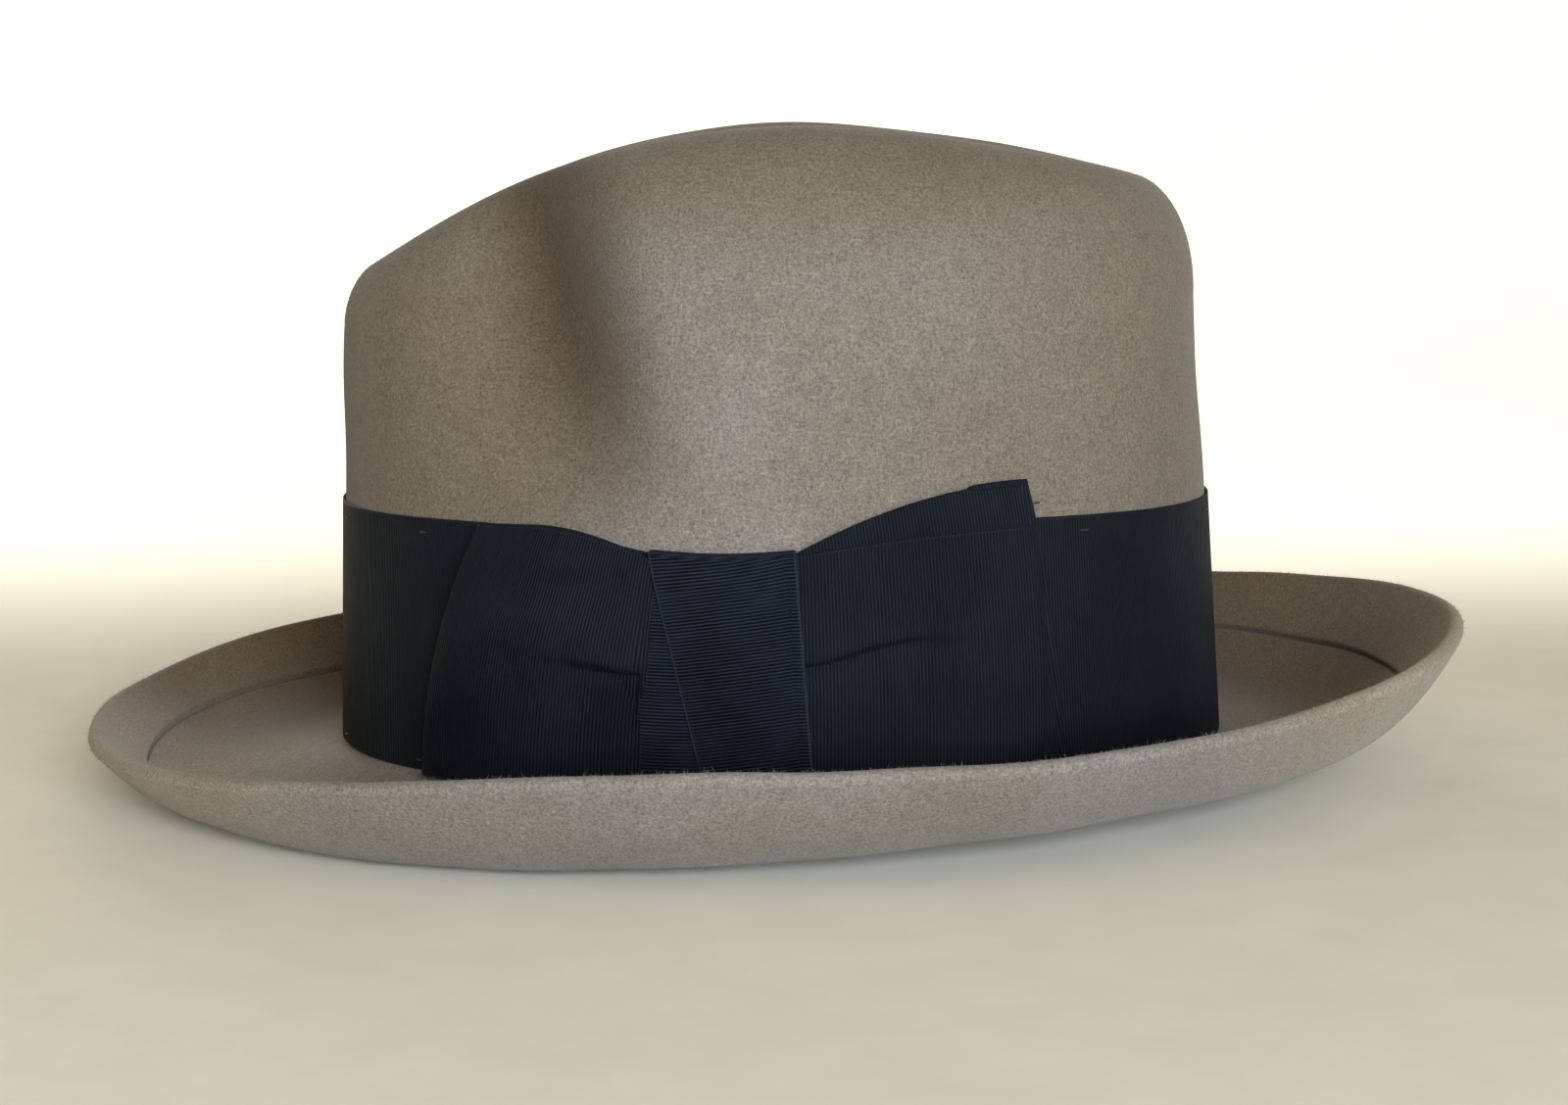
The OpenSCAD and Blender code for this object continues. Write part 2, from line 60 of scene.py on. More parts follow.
# ---- sizes in mm, as in the CAD ----
# three numbers: front, back and sides; two: front and back, or the low and the high end
CROWN_A, CROWN_B = 102.4, 87.5
WALL_Z = (97.0, 101.5, 82.5)
RIDGE_Z = (110.5, 129.5, 141.5)
RIDGE_HALF = 47.0
RIDGE_REACH = (92.0, 79.0)
WALL_IN = (0.975, 0.938, 0.93)
WALL_POW = 1.12
CORNER = (1.12, 0.92, 1.0)
CREASE_Y, CREASE_FLOOR = -12.0, 110.0
PINCH, PINCH_LEN = 0.34, (34.0, 16.0)
PINCH_Z, PINCH_Y = (62.0, 114.0), (-41.0, -54.0)
LOW_PINCH, LOW_PINCH_Z = 0.24, (53.0, 70.0)
BREAK_Z, BREAK_R = (0.0, 0.0, 2.9), 1.6
CROWN_FULL, BRIM_FULL = 0.012, (0.045, -0.02)
BRIM_A, BRIM_B = (158.0, 157.0), 141.5
EDGE_Z, EDGE_WAVE = (6.0, 26.5, 17.5), 1.9
# the brim dips to DIP at the share DIP_AT of its width, then curls up to EDGE_Z
DIP, DIP_SKEW, DIP_AT, CURL = (-5.0, 1.0, -2.6), 7.6, 0.55, 3.6
WELT_AT, WELT_T, FELT_T = 1 - 11 / 58, 1.6, 1.9
RIBBON_T, GAP, LAYER = 0.5, 0.15, 0.65
BAND_LOW, BAND_H, KNOT_H = 1.5, 55.0, 50.0
KNOT_MID = -7.0
# the length of one degree along the band
MM_PER_DEG = 1.72
SWEAT_LOW, SWEAT_H, LEATHER_T = -0.6, 48.0, 1.0
REED_D, TAPE_T, REED_GAP = 1.6, 0.3, 2.4
LINING_T = 0.3


# ---- small maths ----
def sind(t):
    return np.sin(np.radians(t))


def cosd(t):
    return np.cos(np.radians(t))


def unit(v):
    return v / np.maximum(np.linalg.norm(v, axis=-1, keepdims=True), 1e-9)


def vec(*parts):
    return np.stack(np.broadcast_arrays(*parts), axis=-1)


def mix(a, b, s):
    return a + (b - a) * s


def clamp01(s):
    return np.clip(s, 0, 1)


def ease(s):
    s = clamp01(s)
    return s * s * (3 - 2 * s)


def arch(s):
    """Rises fast from 0 and levels off at 1."""
    return 1 - (1 - clamp01(s)) ** 2


def by_side(v, t):
    """A value that goes smoothly round the hat through the front, back and side values in v."""
    s2 = sind(t) ** 2
    return np.where(sind(t) < 0, v[0], v[1]) * s2 + v[2] * (1 - s2)


def plan(a, b, full, t):
    """An oval seen from above, with half lengths a and b; full makes it squarer."""
    k = 1 + full * sind(2 * t) ** 2
    return b * cosd(t) * k, a * sind(t) * k


# ---- the outer skin of the felt ----
WAVES = [(unit(rng.normal(size=3)) * 2 * math.pi / length, rng.uniform(0, 6.28), length / 60)
         for length in (34, 41, 48, 57, 66, 78, 90, 105)]


def lumps(p):
    """The soft unevenness of hand-blocked felt, in mm, at the points p."""
    return sum(a * np.sin(p @ k + f) for k, f, a in WAVES) / 3.2


def wall(t, u):
    """The side of the crown; u is 0 at the brim break and 1 at the top of the wall."""
    f = 1 + (by_side(WALL_IN, t) - 1) * np.maximum(u, 0) ** WALL_POW
    x, y = plan(CROWN_A, CROWN_B, CROWN_FULL, t)
    return vec(x * f, y * f, mix(by_side(BREAK_Z, t), by_side(WALL_Z, t), u))


def ridge(t):
    return vec(RIDGE_HALF * cosd(t), np.where(sind(t) < 0, *RIDGE_REACH) * sind(t), by_side(RIDGE_Z, t))


def shoulder(t, u):
    w, r, k = wall(t, 1.0), ridge(t), by_side(CORNER, t)
    c = np.maximum(cosd(90 * u), 0) ** k
    s = np.maximum(sind(90 * u), 0) ** k
    return vec(mix(r[..., 0], w[..., 0], c), mix(r[..., 1], w[..., 1], c), mix(w[..., 2], r[..., 2], s))


def crease(t, u):
    """From the ridge, u = 0, down to the floor of the centre crease, u = 1."""
    r = ridge(t)
    return vec(r[..., 0] * (1 - u), mix(r[..., 1], CREASE_Y, u), mix(r[..., 2], CREASE_FLOOR, ease(u)))


def pinched(p):
    """The front pinch: the crown's sides pulled in towards its middle."""
    s = (p[..., 2] - PINCH_Z[0]) / (PINCH_Z[1] - PINCH_Z[0])
    y = mix(PINCH_Y[0], PINCH_Y[1], s)
    low = LOW_PINCH * ease((p[..., 2] - LOW_PINCH_Z[0]) / (LOW_PINCH_Z[1] - LOW_PINCH_Z[0]))
    away = p[..., 1] - y
    d = PINCH * np.exp(-((away / np.where(away < 0, *PINCH_LEN)) ** 2)) * mix(low, 1, ease(s))
    return vec(p[..., 0] * (1 - d), p[..., 1], p[..., 2])


def crown(t, v):
    """v is 0 at the brim break, 1 at the top of the wall, 2 on the ridge and 3 in the crease."""
    t, v = np.broadcast_arrays(t, v)
    p = np.where((v <= 1)[..., None], wall(t, clamp01(v)),
                 np.where((v <= 2)[..., None], shoulder(t, clamp01(v - 1)), crease(t, clamp01(v - 2))))
    p = pinched(p)
    out = unit(p - np.array([0, 0, 70.0]))
    return p + out * (lumps(p) * 0.5 * ease((p[..., 2] - 60) / 30))[..., None]


def brim(t, w):
    """w is 0 at the brim break and 1 at the brim edge."""
    inner = plan(CROWN_A, CROWN_B, CROWN_FULL, t)
    front = sind(t) < 0
    outer = plan(np.where(front, *BRIM_A), BRIM_B, np.where(front, *BRIM_FULL), t)
    z0 = by_side(BREAK_Z, t)
    rise = by_side(EDGE_Z, t) - EDGE_WAVE * sind(2 * t) ** 2 - z0
    low = by_side(DIP, t) + DIP_SKEW * sind(t) * cosd(t) ** 2 - z0
    c = (rise - low / DIP_AT) / (1 - DIP_AT ** (CURL - 1))
    p = vec(mix(inner[0], outer[0], w), mix(inner[1], outer[1], w), z0 + (rise - c) * w + c * w**CURL)
    return p + vec(0, 0, 0.35 * lumps(p * 1.3) * ease((w - 0.15) / 0.5))


def brim_break(t, s):
    """The small bend between crown, s = 0, and brim, s = 1."""
    a = crown(t, BREAK_R / by_side(WALL_Z, t))
    b = brim(t, BREAK_R / np.linalg.norm(brim(t, 1.0) - brim(t, 0.0), axis=-1))
    return a * (1 - s) ** 2 + crown(t, 0.0) * 2 * s * (1 - s) + b * s**2


def normals(p):
    """The outward normals of rings round the hat."""
    along = np.gradient(p, axis=0)
    around = (np.roll(p, -1, 1) - np.roll(p, 1, 1)) / 2
    return unit(np.cross(along, around))


def outward(t):
    """The level direction straight out of the crown's side."""
    return unit(vec(cosd(t) / CROWN_B, sind(t) / CROWN_A, 0.0))


def on_wall(t, z, d):
    """The point at angle t and height z, d outside the felt's outer skin."""
    z0 = by_side(BREAK_Z, t)
    p = wall(t, (z - z0) / (by_side(WALL_Z, t) - z0))
    return p + outward(t) * np.asarray(d)[..., None]


# ---- meshes ----
def make(name, verts, faces, uv=None, crisp=None):
    """A mesh object from points in mm and quads or triangles (a repeated last corner makes a triangle)."""
    verts = np.asarray(verts, float) / 1000
    faces = np.asarray(faces)
    tri = faces[:, 3] == faces[:, 2]
    a, b, c, d = (verts[faces[:, k]] for k in range(4))
    if (np.einsum("ij,ij->i", a, np.cross(b, c)) + np.einsum("ij,ij->i", a, np.cross(c, d))).sum() < 0:
        faces = np.where(tri[:, None], faces[:, [2, 1, 0, 0]], faces[:, ::-1])
        uv = None if uv is None else np.where(tri[:, None, None], uv[:, [2, 1, 0, 0]], uv[:, ::-1])
    count = np.where(tri, 3, 4)
    keep = np.ones(faces.shape, bool)
    keep[tri, 3] = False
    me = bpy.data.meshes.new(name)
    me.vertices.add(len(verts))
    me.vertices.foreach_set("co", verts.ravel())
    me.loops.add(int(count.sum()))
    me.loops.foreach_set("vertex_index", faces[keep].astype(np.int32))
    me.polygons.add(len(faces))
    me.polygons.foreach_set("loop_start", np.concatenate([[0], np.cumsum(count)[:-1]]).astype(np.int32))
    me.polygons.foreach_set("use_smooth", np.ones(len(faces), bool))
    me.update(calc_edges=True)
    if uv is not None:
        me.uv_layers.new(name="weave").data.foreach_set("uv", (uv[keep] / 1000).astype(np.float32).ravel())
    me.validate()
    if crisp:
        me.set_sharp_from_angle(angle=math.radians(crisp))
    ob = bpy.data.objects.new(name, me)
    bpy.context.scene.collection.objects.link(ob)
    return ob


def ring_faces(rows, cols):
    """Quads between rings of points; point 0 is the pole that comes before the first ring."""
    i, j = np.meshgrid(np.arange(rows - 1), np.arange(cols), indexing="ij")
    a, b = 1 + i * cols + j, 1 + i * cols + (j + 1) % cols
    return np.stack([a, b, b + cols, a + cols], -1).reshape(-1, 4)


def shell(name, rings, first, last):
    """A closed surface of rings round the hat between two poles."""
    rows, cols = rings.shape[:2]
    j = np.arange(cols)
    nxt = (j + 1) % cols
    end = rows * cols + 1
    caps = [np.stack([0 * j, 1 + nxt, 1 + j, 1 + j], -1),
            np.stack([0 * j + end, end - cols + j, end - cols + nxt, end - cols + nxt], -1)]
    verts = np.concatenate([[first], rings.reshape(-1, 3), [last]])
    return make(name, verts, np.concatenate([ring_faces(rows, cols), *caps]))


def strip(name, p, thick, u, v, closed=False, crisp=32):
    """A strip of cloth or leather with real thickness. p is its middle surface, sections along and
    points across; u and v are the cloth's own coordinates in mm, which carry its weave."""
    m, n = p.shape[:2]
    i = (np.roll(p, -1, 0) - np.roll(p, 1, 0)) / 2 if closed else np.gradient(p, axis=0)
    nor = unit(np.cross(i, np.gradient(p, axis=1))) * thick / 2
    e0 = unit(p[:, :1] - p[:, 1:2]) * thick / 2
    e1 = unit(p[:, -1:] - p[:, -2:-1]) * thick / 2
    sec = np.concatenate([p[:, :1] + e0, p + nor, p[:, -1:] + e1, (p - nor)[:, ::-1]], 1)
    u, v = (np.broadcast_to(x, (m, n)).astype(float) for x in (u, v))
    uu, vv = (np.concatenate([x[:, :1], x, x[:, -1:], x[:, ::-1]], 1) for x in (u, v))
    k = 2 * n + 2
    a, b = np.meshgrid(np.arange(m if closed else m - 1), np.arange(k), indexing="ij")
    a2, b2 = (a + 1) % m, (b + 1) % k
    faces = np.stack([a * k + b, a2 * k + b, a2 * k + b2, a * k + b2], -1).reshape(-1, 4)
    near = np.stack([uu, vv], -1)
    # a closed strip's last quads go on to a point one step past the end, not back to the start
    past = np.stack([uu[-1] + uu[1] - uu[0], vv[0]], -1)
    far, far2 = (np.where((a2 == 0)[..., None], past[k2], near[a2, k2]) for k2 in (b, b2))
    uv = np.stack([near[a, b], far, far2, near[a, b2]], -2).reshape(-1, 4, 2)
    if not closed:
        c = np.arange(n - 1)
        cap = np.concatenate([np.stack([1 + c, 2 + c, k - 2 - c, k - 1 - c], -1), [[0, 1, k - 1, k - 1]],
                              [[n + 1, n + 2, n, n]]])
        for s in (0, m - 1):
            tri = cap[:, 3] == cap[:, 2]
            turned = cap if s == 0 else np.where(tri[:, None], cap[:, [2, 1, 0, 0]], cap[:, ::-1])
            faces = np.concatenate([faces, turned + s * k])
            uv = np.concatenate([uv, near[s][turned]])
    return make(name, sec.reshape(-1, 3), faces, uv, crisp)


def tubes(name, paths, radius, sides=8, closed=False):
    """Threads and cords: paths is (count, points, 3), with rounded ends unless closed."""
    paths = np.asarray(paths, float)
    n, m = paths.shape[:2]
    along = (np.roll(paths, -1, 1) - np.roll(paths, 1, 1)) if closed else np.gradient(paths, axis=1)
    along = unit(along)
    up = np.where(np.abs(along[..., 2:]) > 0.8, np.array([1.0, 0, 0]), np.array([0, 0, 1.0]))
    side = unit(np.cross(along, up))
    top = np.cross(side, along)
    f = np.arange(sides) * 2 * np.pi / sides
    r = np.full(m, radius)
    if not closed:
        s = np.minimum(np.arange(m), np.arange(m)[::-1]) / max(1, (m - 1) / 5)
        r = radius * np.sqrt(1 - (1 - clamp01(s + 0.12)) ** 2)
    ring = paths[:, :, None] + (side[:, :, None] * np.cos(f)[:, None]
                                + top[:, :, None] * np.sin(f)[:, None]) * r[:, None, None]
    a, b = np.meshgrid(np.arange(m if closed else m - 1), np.arange(sides), indexing="ij")
    a2, b2 = (a + 1) % m, (b + 1) % sides
    quads = np.stack([a * sides + b, a2 * sides + b, a2 * sides + b2, a * sides + b2], -1).reshape(-1, 4)
    length = np.concatenate([[0], np.cumsum(np.linalg.norm(np.diff(paths[0], axis=0), axis=-1))])
    step = length[1] - length[0]
    uu = np.concatenate([length, [length[-1] + step]])
    around = np.arange(sides + 1) * 2 * math.pi * radius / sides
    uv = np.stack([np.stack([uu[a], around[b]], -1), np.stack([uu[a + 1], around[b]], -1),
                   np.stack([uu[a + 1], around[b + 1]], -1), np.stack([uu[a], around[b + 1]], -1)], -2)
    uv = uv.reshape(-1, 4, 2)
    verts, faces, uvs = [ring.reshape(n, -1, 3)], [quads], [uv]
    per = m * sides
    if not closed:
        verts.append(paths[:, [0, -1]])
        b = np.arange(sides)
        nb = (b + 1) % sides
        faces.append(np.stack([0 * b + per, b, nb, nb], -1))
        last = (m - 1) * sides
        faces.append(np.stack([0 * b + per + 1, last + nb, last + b, last + b], -1))
        uvs.append(np.zeros((2 * sides, 4, 2)))
        per += 2
    verts = np.concatenate(verts, 1).reshape(-1, 3)
    faces = np.concatenate(faces)
    faces = (faces[None] + (np.arange(n) * per)[:, None, None]).reshape(-1, 4)
    return make(name, verts, faces, np.tile(np.concatenate(uvs), (n, 1, 1)))


def stitch_paths(a, b, lift):
    """Short threads from a to b, raised in the middle by the vectors lift."""
    s = np.linspace(0, 1, 9)[None, :, None]
    return a[:, None] * (1 - s) + b[:, None] * s + lift[:, None] * np.sin(np.pi * s) ** 0.7


# ---- materials ----
class Graph:
    """A node material: small helpers that add a node and give back its output."""

    def __init__(self, name):
        self.mat = bpy.data.materials.new(name)
        self.mat.use_nodes = True
        self.tree = self.mat.node_tree
        self.tree.nodes.clear()
        self.bsdf = self.add("ShaderNodeBsdfPrincipled")
        out = self.add("ShaderNodeOutputMaterial")
        self.tree.links.new(self.bsdf.outputs[0], out.inputs["Surface"])

    def add(self, kind, inputs=None, **props):
        node = self.tree.nodes.new(kind)
        for key, value in props.items():
            setattr(node, key, value)
        for key, value in (inputs or {}).items():
            if isinstance(value, bpy.types.NodeSocket):
                self.tree.links.new(value, node.inputs[key])
            else:
                node.inputs[key].default_value = value
        return node

    def place(self):
        return self.add("ShaderNodeTexCoord").outputs["Object"]

    def weave(self):
        """The cloth's own two coordinates, along and across the ribs."""
        cloth = self.add("ShaderNodeUVMap", uv_map="weave").outputs[0]
        split = self.add("ShaderNodeSeparateXYZ", {0: cloth})
        return split.outputs[0], split.outputs[1]

    def stretch(self, vector, scale, turn=(0, 0, 0)):
        turn = tuple(math.radians(x) for x in turn)
        return self.add("ShaderNodeMapping", {"Vector": vector, "Scale": scale, "Rotation": turn}).outputs[0]

    def noise(self, vector, scale, detail=2.0, rough=0.5, bend=0.0):
        return self.add("ShaderNodeTexNoise", {"Vector": vector, "Scale": scale, "Detail": detail,
                                               "Roughness": rough, "Distortion": bend}).outputs[0]

    def math(self, kind, a, b=0.0, c=0.0):
        return self.add("ShaderNodeMath", {0: a, 1: b, 2: c}, operation=kind).outputs[0]

    def span(self, value, low, high, to_low=0.0, to_high=1.0, smooth=False):
        return self.add("ShaderNodeMapRange", {0: value, 1: low, 2: high, 3: to_low, 4: to_high},
                        interpolation_type="SMOOTHSTEP" if smooth else "LINEAR").outputs[0]

    def fade(self, value, low, high, to_low=0.0, to_high=1.0):
        return self.span(value, low, high, to_low, to_high, smooth=True)

    def plus(self, a, b):
        return self.math("ADD", a, b)

    def times(self, a, b):
        return self.math("MULTIPLY", a, b)

    def colours(self, value, *stops):
        node = self.add("ShaderNodeValToRGB", {0: value})
        ramp = node.color_ramp
        while len(ramp.elements) < len(stops):
            ramp.elements.new(0.5)
        for element, (at, colour) in zip(ramp.elements, stops):
            element.position = at
            element.color = (*colour, 1)
        return node.outputs[0]

    def blend(self, kind, share, a, b):
        node = self.add("ShaderNodeMix", data_type="RGBA", blend_type=kind)
        for socket, value in ((node.inputs[0], share), (node.inputs[6], a), (node.inputs[7], b)):
            if isinstance(value, bpy.types.NodeSocket):
                self.tree.links.new(value, socket)
            else:
                socket.default_value = (*value, 1) if isinstance(value, tuple) else value
        return node.outputs[2]

    def bump(self, height, distance, strength=1.0, under=None):
        inputs = {"Height": height, "Distance": distance, "Strength": strength}
        if under is not None:
            inputs["Normal"] = under
        return self.add("ShaderNodeBump", inputs).outputs[0]

    def done(self, colour, rough, normal):
        for key, value in (("Base Color", colour), ("Roughness", rough), ("Normal", normal)):
            self.tree.links.new(value, self.bsdf.inputs[key])
        return self.mat


def felt_material(name, hair=False):
    g = Graph(name)
    b = g.bsdf.inputs
    b["Sheen Weight"].default_value = 0.12
    b["Sheen Roughness"].default_value = 0.5
    b["Sheen Tint"].default_value = (0.93, 0.90, 0.86, 1)
    b["Specular IOR Level"].default_value = 0.12
    at = g.place()
    fine = g.noise(at, 1500, 3, 0.65, 0.4)
    speck = g.noise(at, 3300, 2, 0.6)
    cloud = g.noise(at, 210, 4, 0.6, 0.3)
    wide = g.noise(at, 17, 2, 0.5, 0.2)
    fibres = [g.noise(g.stretch(at, s, r), 1000, 2, 0.6, 0.8)
              for s, r in (((0.35, 2.6, 2.6), (0, 25, 20)), ((2.6, 0.35, 2.6), (30, 0, -35)),
                           ((2.6, 2.6, 0.35), (35, 40, 0)))]
    fibre = g.math("MAXIMUM", g.math("MAXIMUM", fibres[0], fibres[1]), fibres[2])
    base = g.colours(wide, (0.34, (0.214, 0.189, 0.163)), (0.5, (0.236, 0.216, 0.197)),
                     (0.66, (0.246, 0.232, 0.219)))
    tone = g.plus(g.span(fine, 0.3, 0.7, -0.34, 0.34), g.span(cloud, 0.3, 0.7, -0.07, 0.07))
    tone = g.plus(tone, g.span(speck, 0.35, 0.65, -0.13, 0.15))
    tone = g.plus(tone, g.span(fibre, 0.56, 0.72, -0.04, 0.34))
    tone = g.times(g.plus(tone, 0.98), 1.0 if hair else 0.70)
    grey = g.add("ShaderNodeCombineXYZ", {0: tone, 1: tone, 2: tone}).outputs[0]
    colour = g.blend("MULTIPLY", 1.0, base, grey)
    x, y, z = g.add("ShaderNodeSeparateXYZ", {0: at}).outputs
    # painted shade darkens the front, the top and the back of the crown, and most of all its pinch
    front = g.times(g.fade(y, -0.024, -0.06, 0, 1.1), g.fade(z, 0.03, 0.065, 0.2, 1))
    beside = g.math("ABSOLUTE", g.math("SUBTRACT", y, g.span(z, 0.06, 0.126, -0.036, -0.051)))
    pinch_shade = g.times(g.fade(beside, 0.021, 0.0), g.fade(z, 0.052, 0.095, 0.1, 1))
    back = g.times(g.fade(y, -0.015, 0.08, 0, 0.85), g.fade(z, 0.035, 0.06))
    top = g.fade(z, 0.098, 0.134)
    # painted light makes the brim paler at its two ends, and painted shade makes it darker on the side away
    # from the bow
    far = g.times(g.fade(x, 0.03, -0.05), g.fade(z, 0.05, 0.03))
    tip_light = g.fade(g.math("ABSOLUTE", y), 0.080, 0.136)
    painted_shade = g.math("MAXIMUM", g.math("MAXIMUM", front, top), back)
    painted_shade = g.times(painted_shade, g.span(wide, 0.3, 0.7, 0.8, 1.1))
    # multiply in the painted shade of the front, top and back, then the deeper painted shade of the pinch
    # hollow
    colour = g.blend("MULTIPLY", painted_shade, colour, (0.75, 0.665, 0.53))
    colour = g.blend("MULTIPLY", pinch_shade, colour, (0.48, 0.41, 0.33))
    # painted light on the brim's two ends, painted shade on the brim away from the bow
    colour = g.blend("MULTIPLY", tip_light, colour, (1.45, 1.34, 1.14))
    colour = g.blend("MULTIPLY", far, colour, (0.46, 0.39, 0.31))
    rough = g.span(cloud, 0.3, 0.7, 0.88, 1.0)
    height = g.plus(g.times(fine, 0.6), g.times(fibre, 0.8))
    normal = g.bump(height, 0.00022, 0.55, g.bump(cloud, 0.0004, 0.25))
    return g.done(colour, rough, normal)


def grosgrain_material(name, dark, light, width, pitch=0.0007, cords=1.0, folds=False):
    """width is the ribbon's own width in metres: its two selvedges are flatter and paler. folds paints
    shadow into the cloth where the front loop of the bow sinks in beside the knot and at its lower corner."""
    g = Graph(name)
    b = g.bsdf.inputs
    b["Sheen Weight"].default_value = 0.02
    b["Sheen Roughness"].default_value = 0.4
    b["Sheen Tint"].default_value = (0.5, 0.65, 0.85, 1)
    b["Specular IOR Level"].default_value = 0.10
    b["Specular Tint"].default_value = (0.75, 0.9, 1.0, 1)
    u, v = g.weave()
    at = g.place()
    wander = g.times(g.noise(at, 60, 1, 0.5), 0.00016)
    rib = g.math("COSINE", g.times(g.plus(u, wander), 2 * math.pi / pitch))
    rib = g.math("POWER", g.span(rib, -1, 1), 1.3)
    warp = g.span(g.math("COSINE", g.times(v, 2 * math.pi / 0.00024)), -1, 1)
    edge = g.math("MINIMUM", v, g.math("SUBTRACT", width, v))
    inside = g.fade(edge, 0.0002, 0.0005)
    slub = g.noise(g.stretch(g.add("ShaderNodeUVMap", uv_map="weave").outputs[0], (2200, 130, 1)), 1, 3, 0.6)
    cloud = g.noise(at, 45, 3, 0.6, 0.4)
    height = g.times(g.math("POWER", rib, 0.55), g.span(inside, 0, 1, 0.35, 1.0))
    height = g.plus(height, g.times(warp, 0.12))
    tone = g.plus(g.times(rib, 0.74), g.span(slub, 0.3, 0.7, -0.07, 0.13))
    tone = g.plus(tone, g.span(cloud, 0.35, 0.65, -0.10, 0.14))
    tone = g.plus(tone, g.times(warp, 0.06))
    colour = g.colours(tone, (0.05, dark), (0.95, light))
    y, z = g.add("ShaderNodeSeparateXYZ", {0: at}).outputs[1:]
    # painted shade: the ribbon darkens towards its bottom, near the brim
    colour = g.blend("MULTIPLY", g.fade(z, 0.036, 0.006), colour, (0.55, 0.60, 0.66))
    if folds:
        # painted shadow where the front loop sinks in beside the knot and at its lower corner
        knot_shadow = g.times(g.fade(y, -0.052, -0.033), g.fade(y, -0.020, -0.024))
        knot_shadow = g.times(knot_shadow, g.fade(z, 0.031, 0.024))
        corner = g.times(g.fade(y, -0.058, -0.074, 0, 0.9), g.fade(z, 0.036, 0.014))
        colour = g.blend("MULTIPLY", g.math("MAXIMUM", knot_shadow, corner), colour, (0.22, 0.28, 0.34))
    pale = tuple(x * 1.1 + 0.001 for x in light)
    colour = g.blend("MIX", g.span(inside, 0, 1, 0.5, 0), colour, pale)
    rough = g.span(slub, 0.3, 0.7, 0.55, 0.7)
    return g.done(colour, rough, g.bump(height, 0.00016 * cords, 0.8))


def leather_material():
    g = Graph("sweatband_leather")
    g.bsdf.inputs["Coat Weight"].default_value = 0.12
    g.bsdf.inputs["Coat Roughness"].default_value = 0.35
    at = g.place()
    cells = g.add("ShaderNodeTexVoronoi", {"Vector": at, "Scale": 1100}).outputs["Distance"]
    folds = g.noise(g.stretch(at, (1, 1, 2.5)), 260, 4, 0.62, 0.8)
    stain = g.noise(at, 28, 4, 0.6, 0.6)
    pores = g.noise(at, 3000, 2, 0.5)
    tone = g.plus(g.span(stain, 0.3, 0.7, 0, 0.55), g.span(folds, 0.3, 0.7, 0, 0.3))
    tone = g.plus(tone, g.span(cells, 0, 0.7, -0.08, 0.16))
    colour = g.colours(tone, (0.1, (0.085, 0.035, 0.014)), (0.45, (0.16, 0.072, 0.03)),
                       (0.9, (0.26, 0.135, 0.066)))
    rough = g.span(folds, 0.3, 0.7, 0.42, 0.6)
    height = g.plus(g.times(cells, 0.7), g.times(pores, 0.25))
    return g.done(colour, rough, g.bump(height, 0.00012, 0.6, g.bump(folds, 0.0006, 0.35)))


def satin_material(name, dark, light):
    g = Graph(name)
    b = g.bsdf.inputs
    b["Anisotropic"].default_value = 0.55
    b["Sheen Weight"].default_value = 0.2
    b["Sheen Roughness"].default_value = 0.3
    b["Specular IOR Level"].default_value = 0.55
    at = g.place()
    threads = g.noise(g.stretch(at, (1, 1, 0.05)), 2600, 2, 0.6)
    across = g.noise(g.stretch(at, (0.06, 0.06, 1)), 2600, 2, 0.6)
    cloud = g.noise(at, 35, 3, 0.55, 0.3)
    tone = g.plus(g.span(threads, 0.3, 0.7, 0, 0.4), g.span(across, 0.3, 0.7, 0, 0.25))
    tone = g.plus(tone, g.span(cloud, 0.3, 0.7, 0, 0.4))
    colour = g.colours(tone, (0.1, dark), (0.95, light))
    rough = g.span(threads, 0.3, 0.7, 0.3, 0.44)
    height = g.plus(threads, g.times(across, 0.6))
    return g.done(colour, rough, g.bump(height, 0.00006, 0.6, g.bump(cloud, 0.0012, 0.25)))


def thread_material(name, dark, light, lay=0.0009):
    """Twisted thread or cord: slanting plies along it."""
    g = Graph(name)
    g.bsdf.inputs["Sheen Weight"].default_value = 0.06
    u, v = g.weave()
    ply = g.span(g.math("SINE", g.times(g.plus(u, g.times(v, 0.7)),
                                       2 * math.pi / lay)), -1, 1)
    fuzz = g.noise(g.place(), 4200, 3, 0.6)
    tone = g.plus(g.times(ply, 0.6), g.span(fuzz, 0.3, 0.7, 0, 0.4))
    colour = g.colours(tone, (0.05, dark), (0.95, light))
    return g.done(colour, g.span(fuzz, 0.3, 0.7, 0.5, 0.75), g.bump(tone, 0.0001, 0.7))


def tape_material():
    g = Graph("reed_tape_cotton")
    g.bsdf.inputs["Sheen Weight"].default_value = 0.15
    u, v = g.weave()
    warp = g.span(g.math("SINE", g.times(u, 2 * math.pi / 0.0005)), -1, 1)
    weft = g.span(g.math("SINE", g.times(v, 2 * math.pi / 0.00045)), -1, 1)
    grid = g.times(warp, weft)
    slub = g.noise(g.place(), 500, 3, 0.6)
    tone = g.plus(g.times(grid, 0.55), g.span(slub, 0.3, 0.7, 0, 0.5))
    colour = g.colours(tone, (0.05, (0.2, 0.14, 0.08)), (0.95, (0.42, 0.32, 0.2)))
    return g.done(colour, g.span(slub, 0.3, 0.7, 0.75, 0.9), g.bump(grid, 0.00012, 0.7))


def reed_material():
    g = Graph("reed_plastic")
    at = g.place()
    marks = g.noise(g.stretch(at, (1, 1, 0.2)), 900, 3, 0.6)
    cloud = g.noise(at, 70, 2, 0.5)
    colour = g.colours(cloud, (0.3, (0.55, 0.52, 0.42)), (0.7, (0.68, 0.65, 0.56)))
    return g.done(colour, g.span(marks, 0.3, 0.7, 0.25, 0.45), g.bump(marks, 0.00005, 0.4))


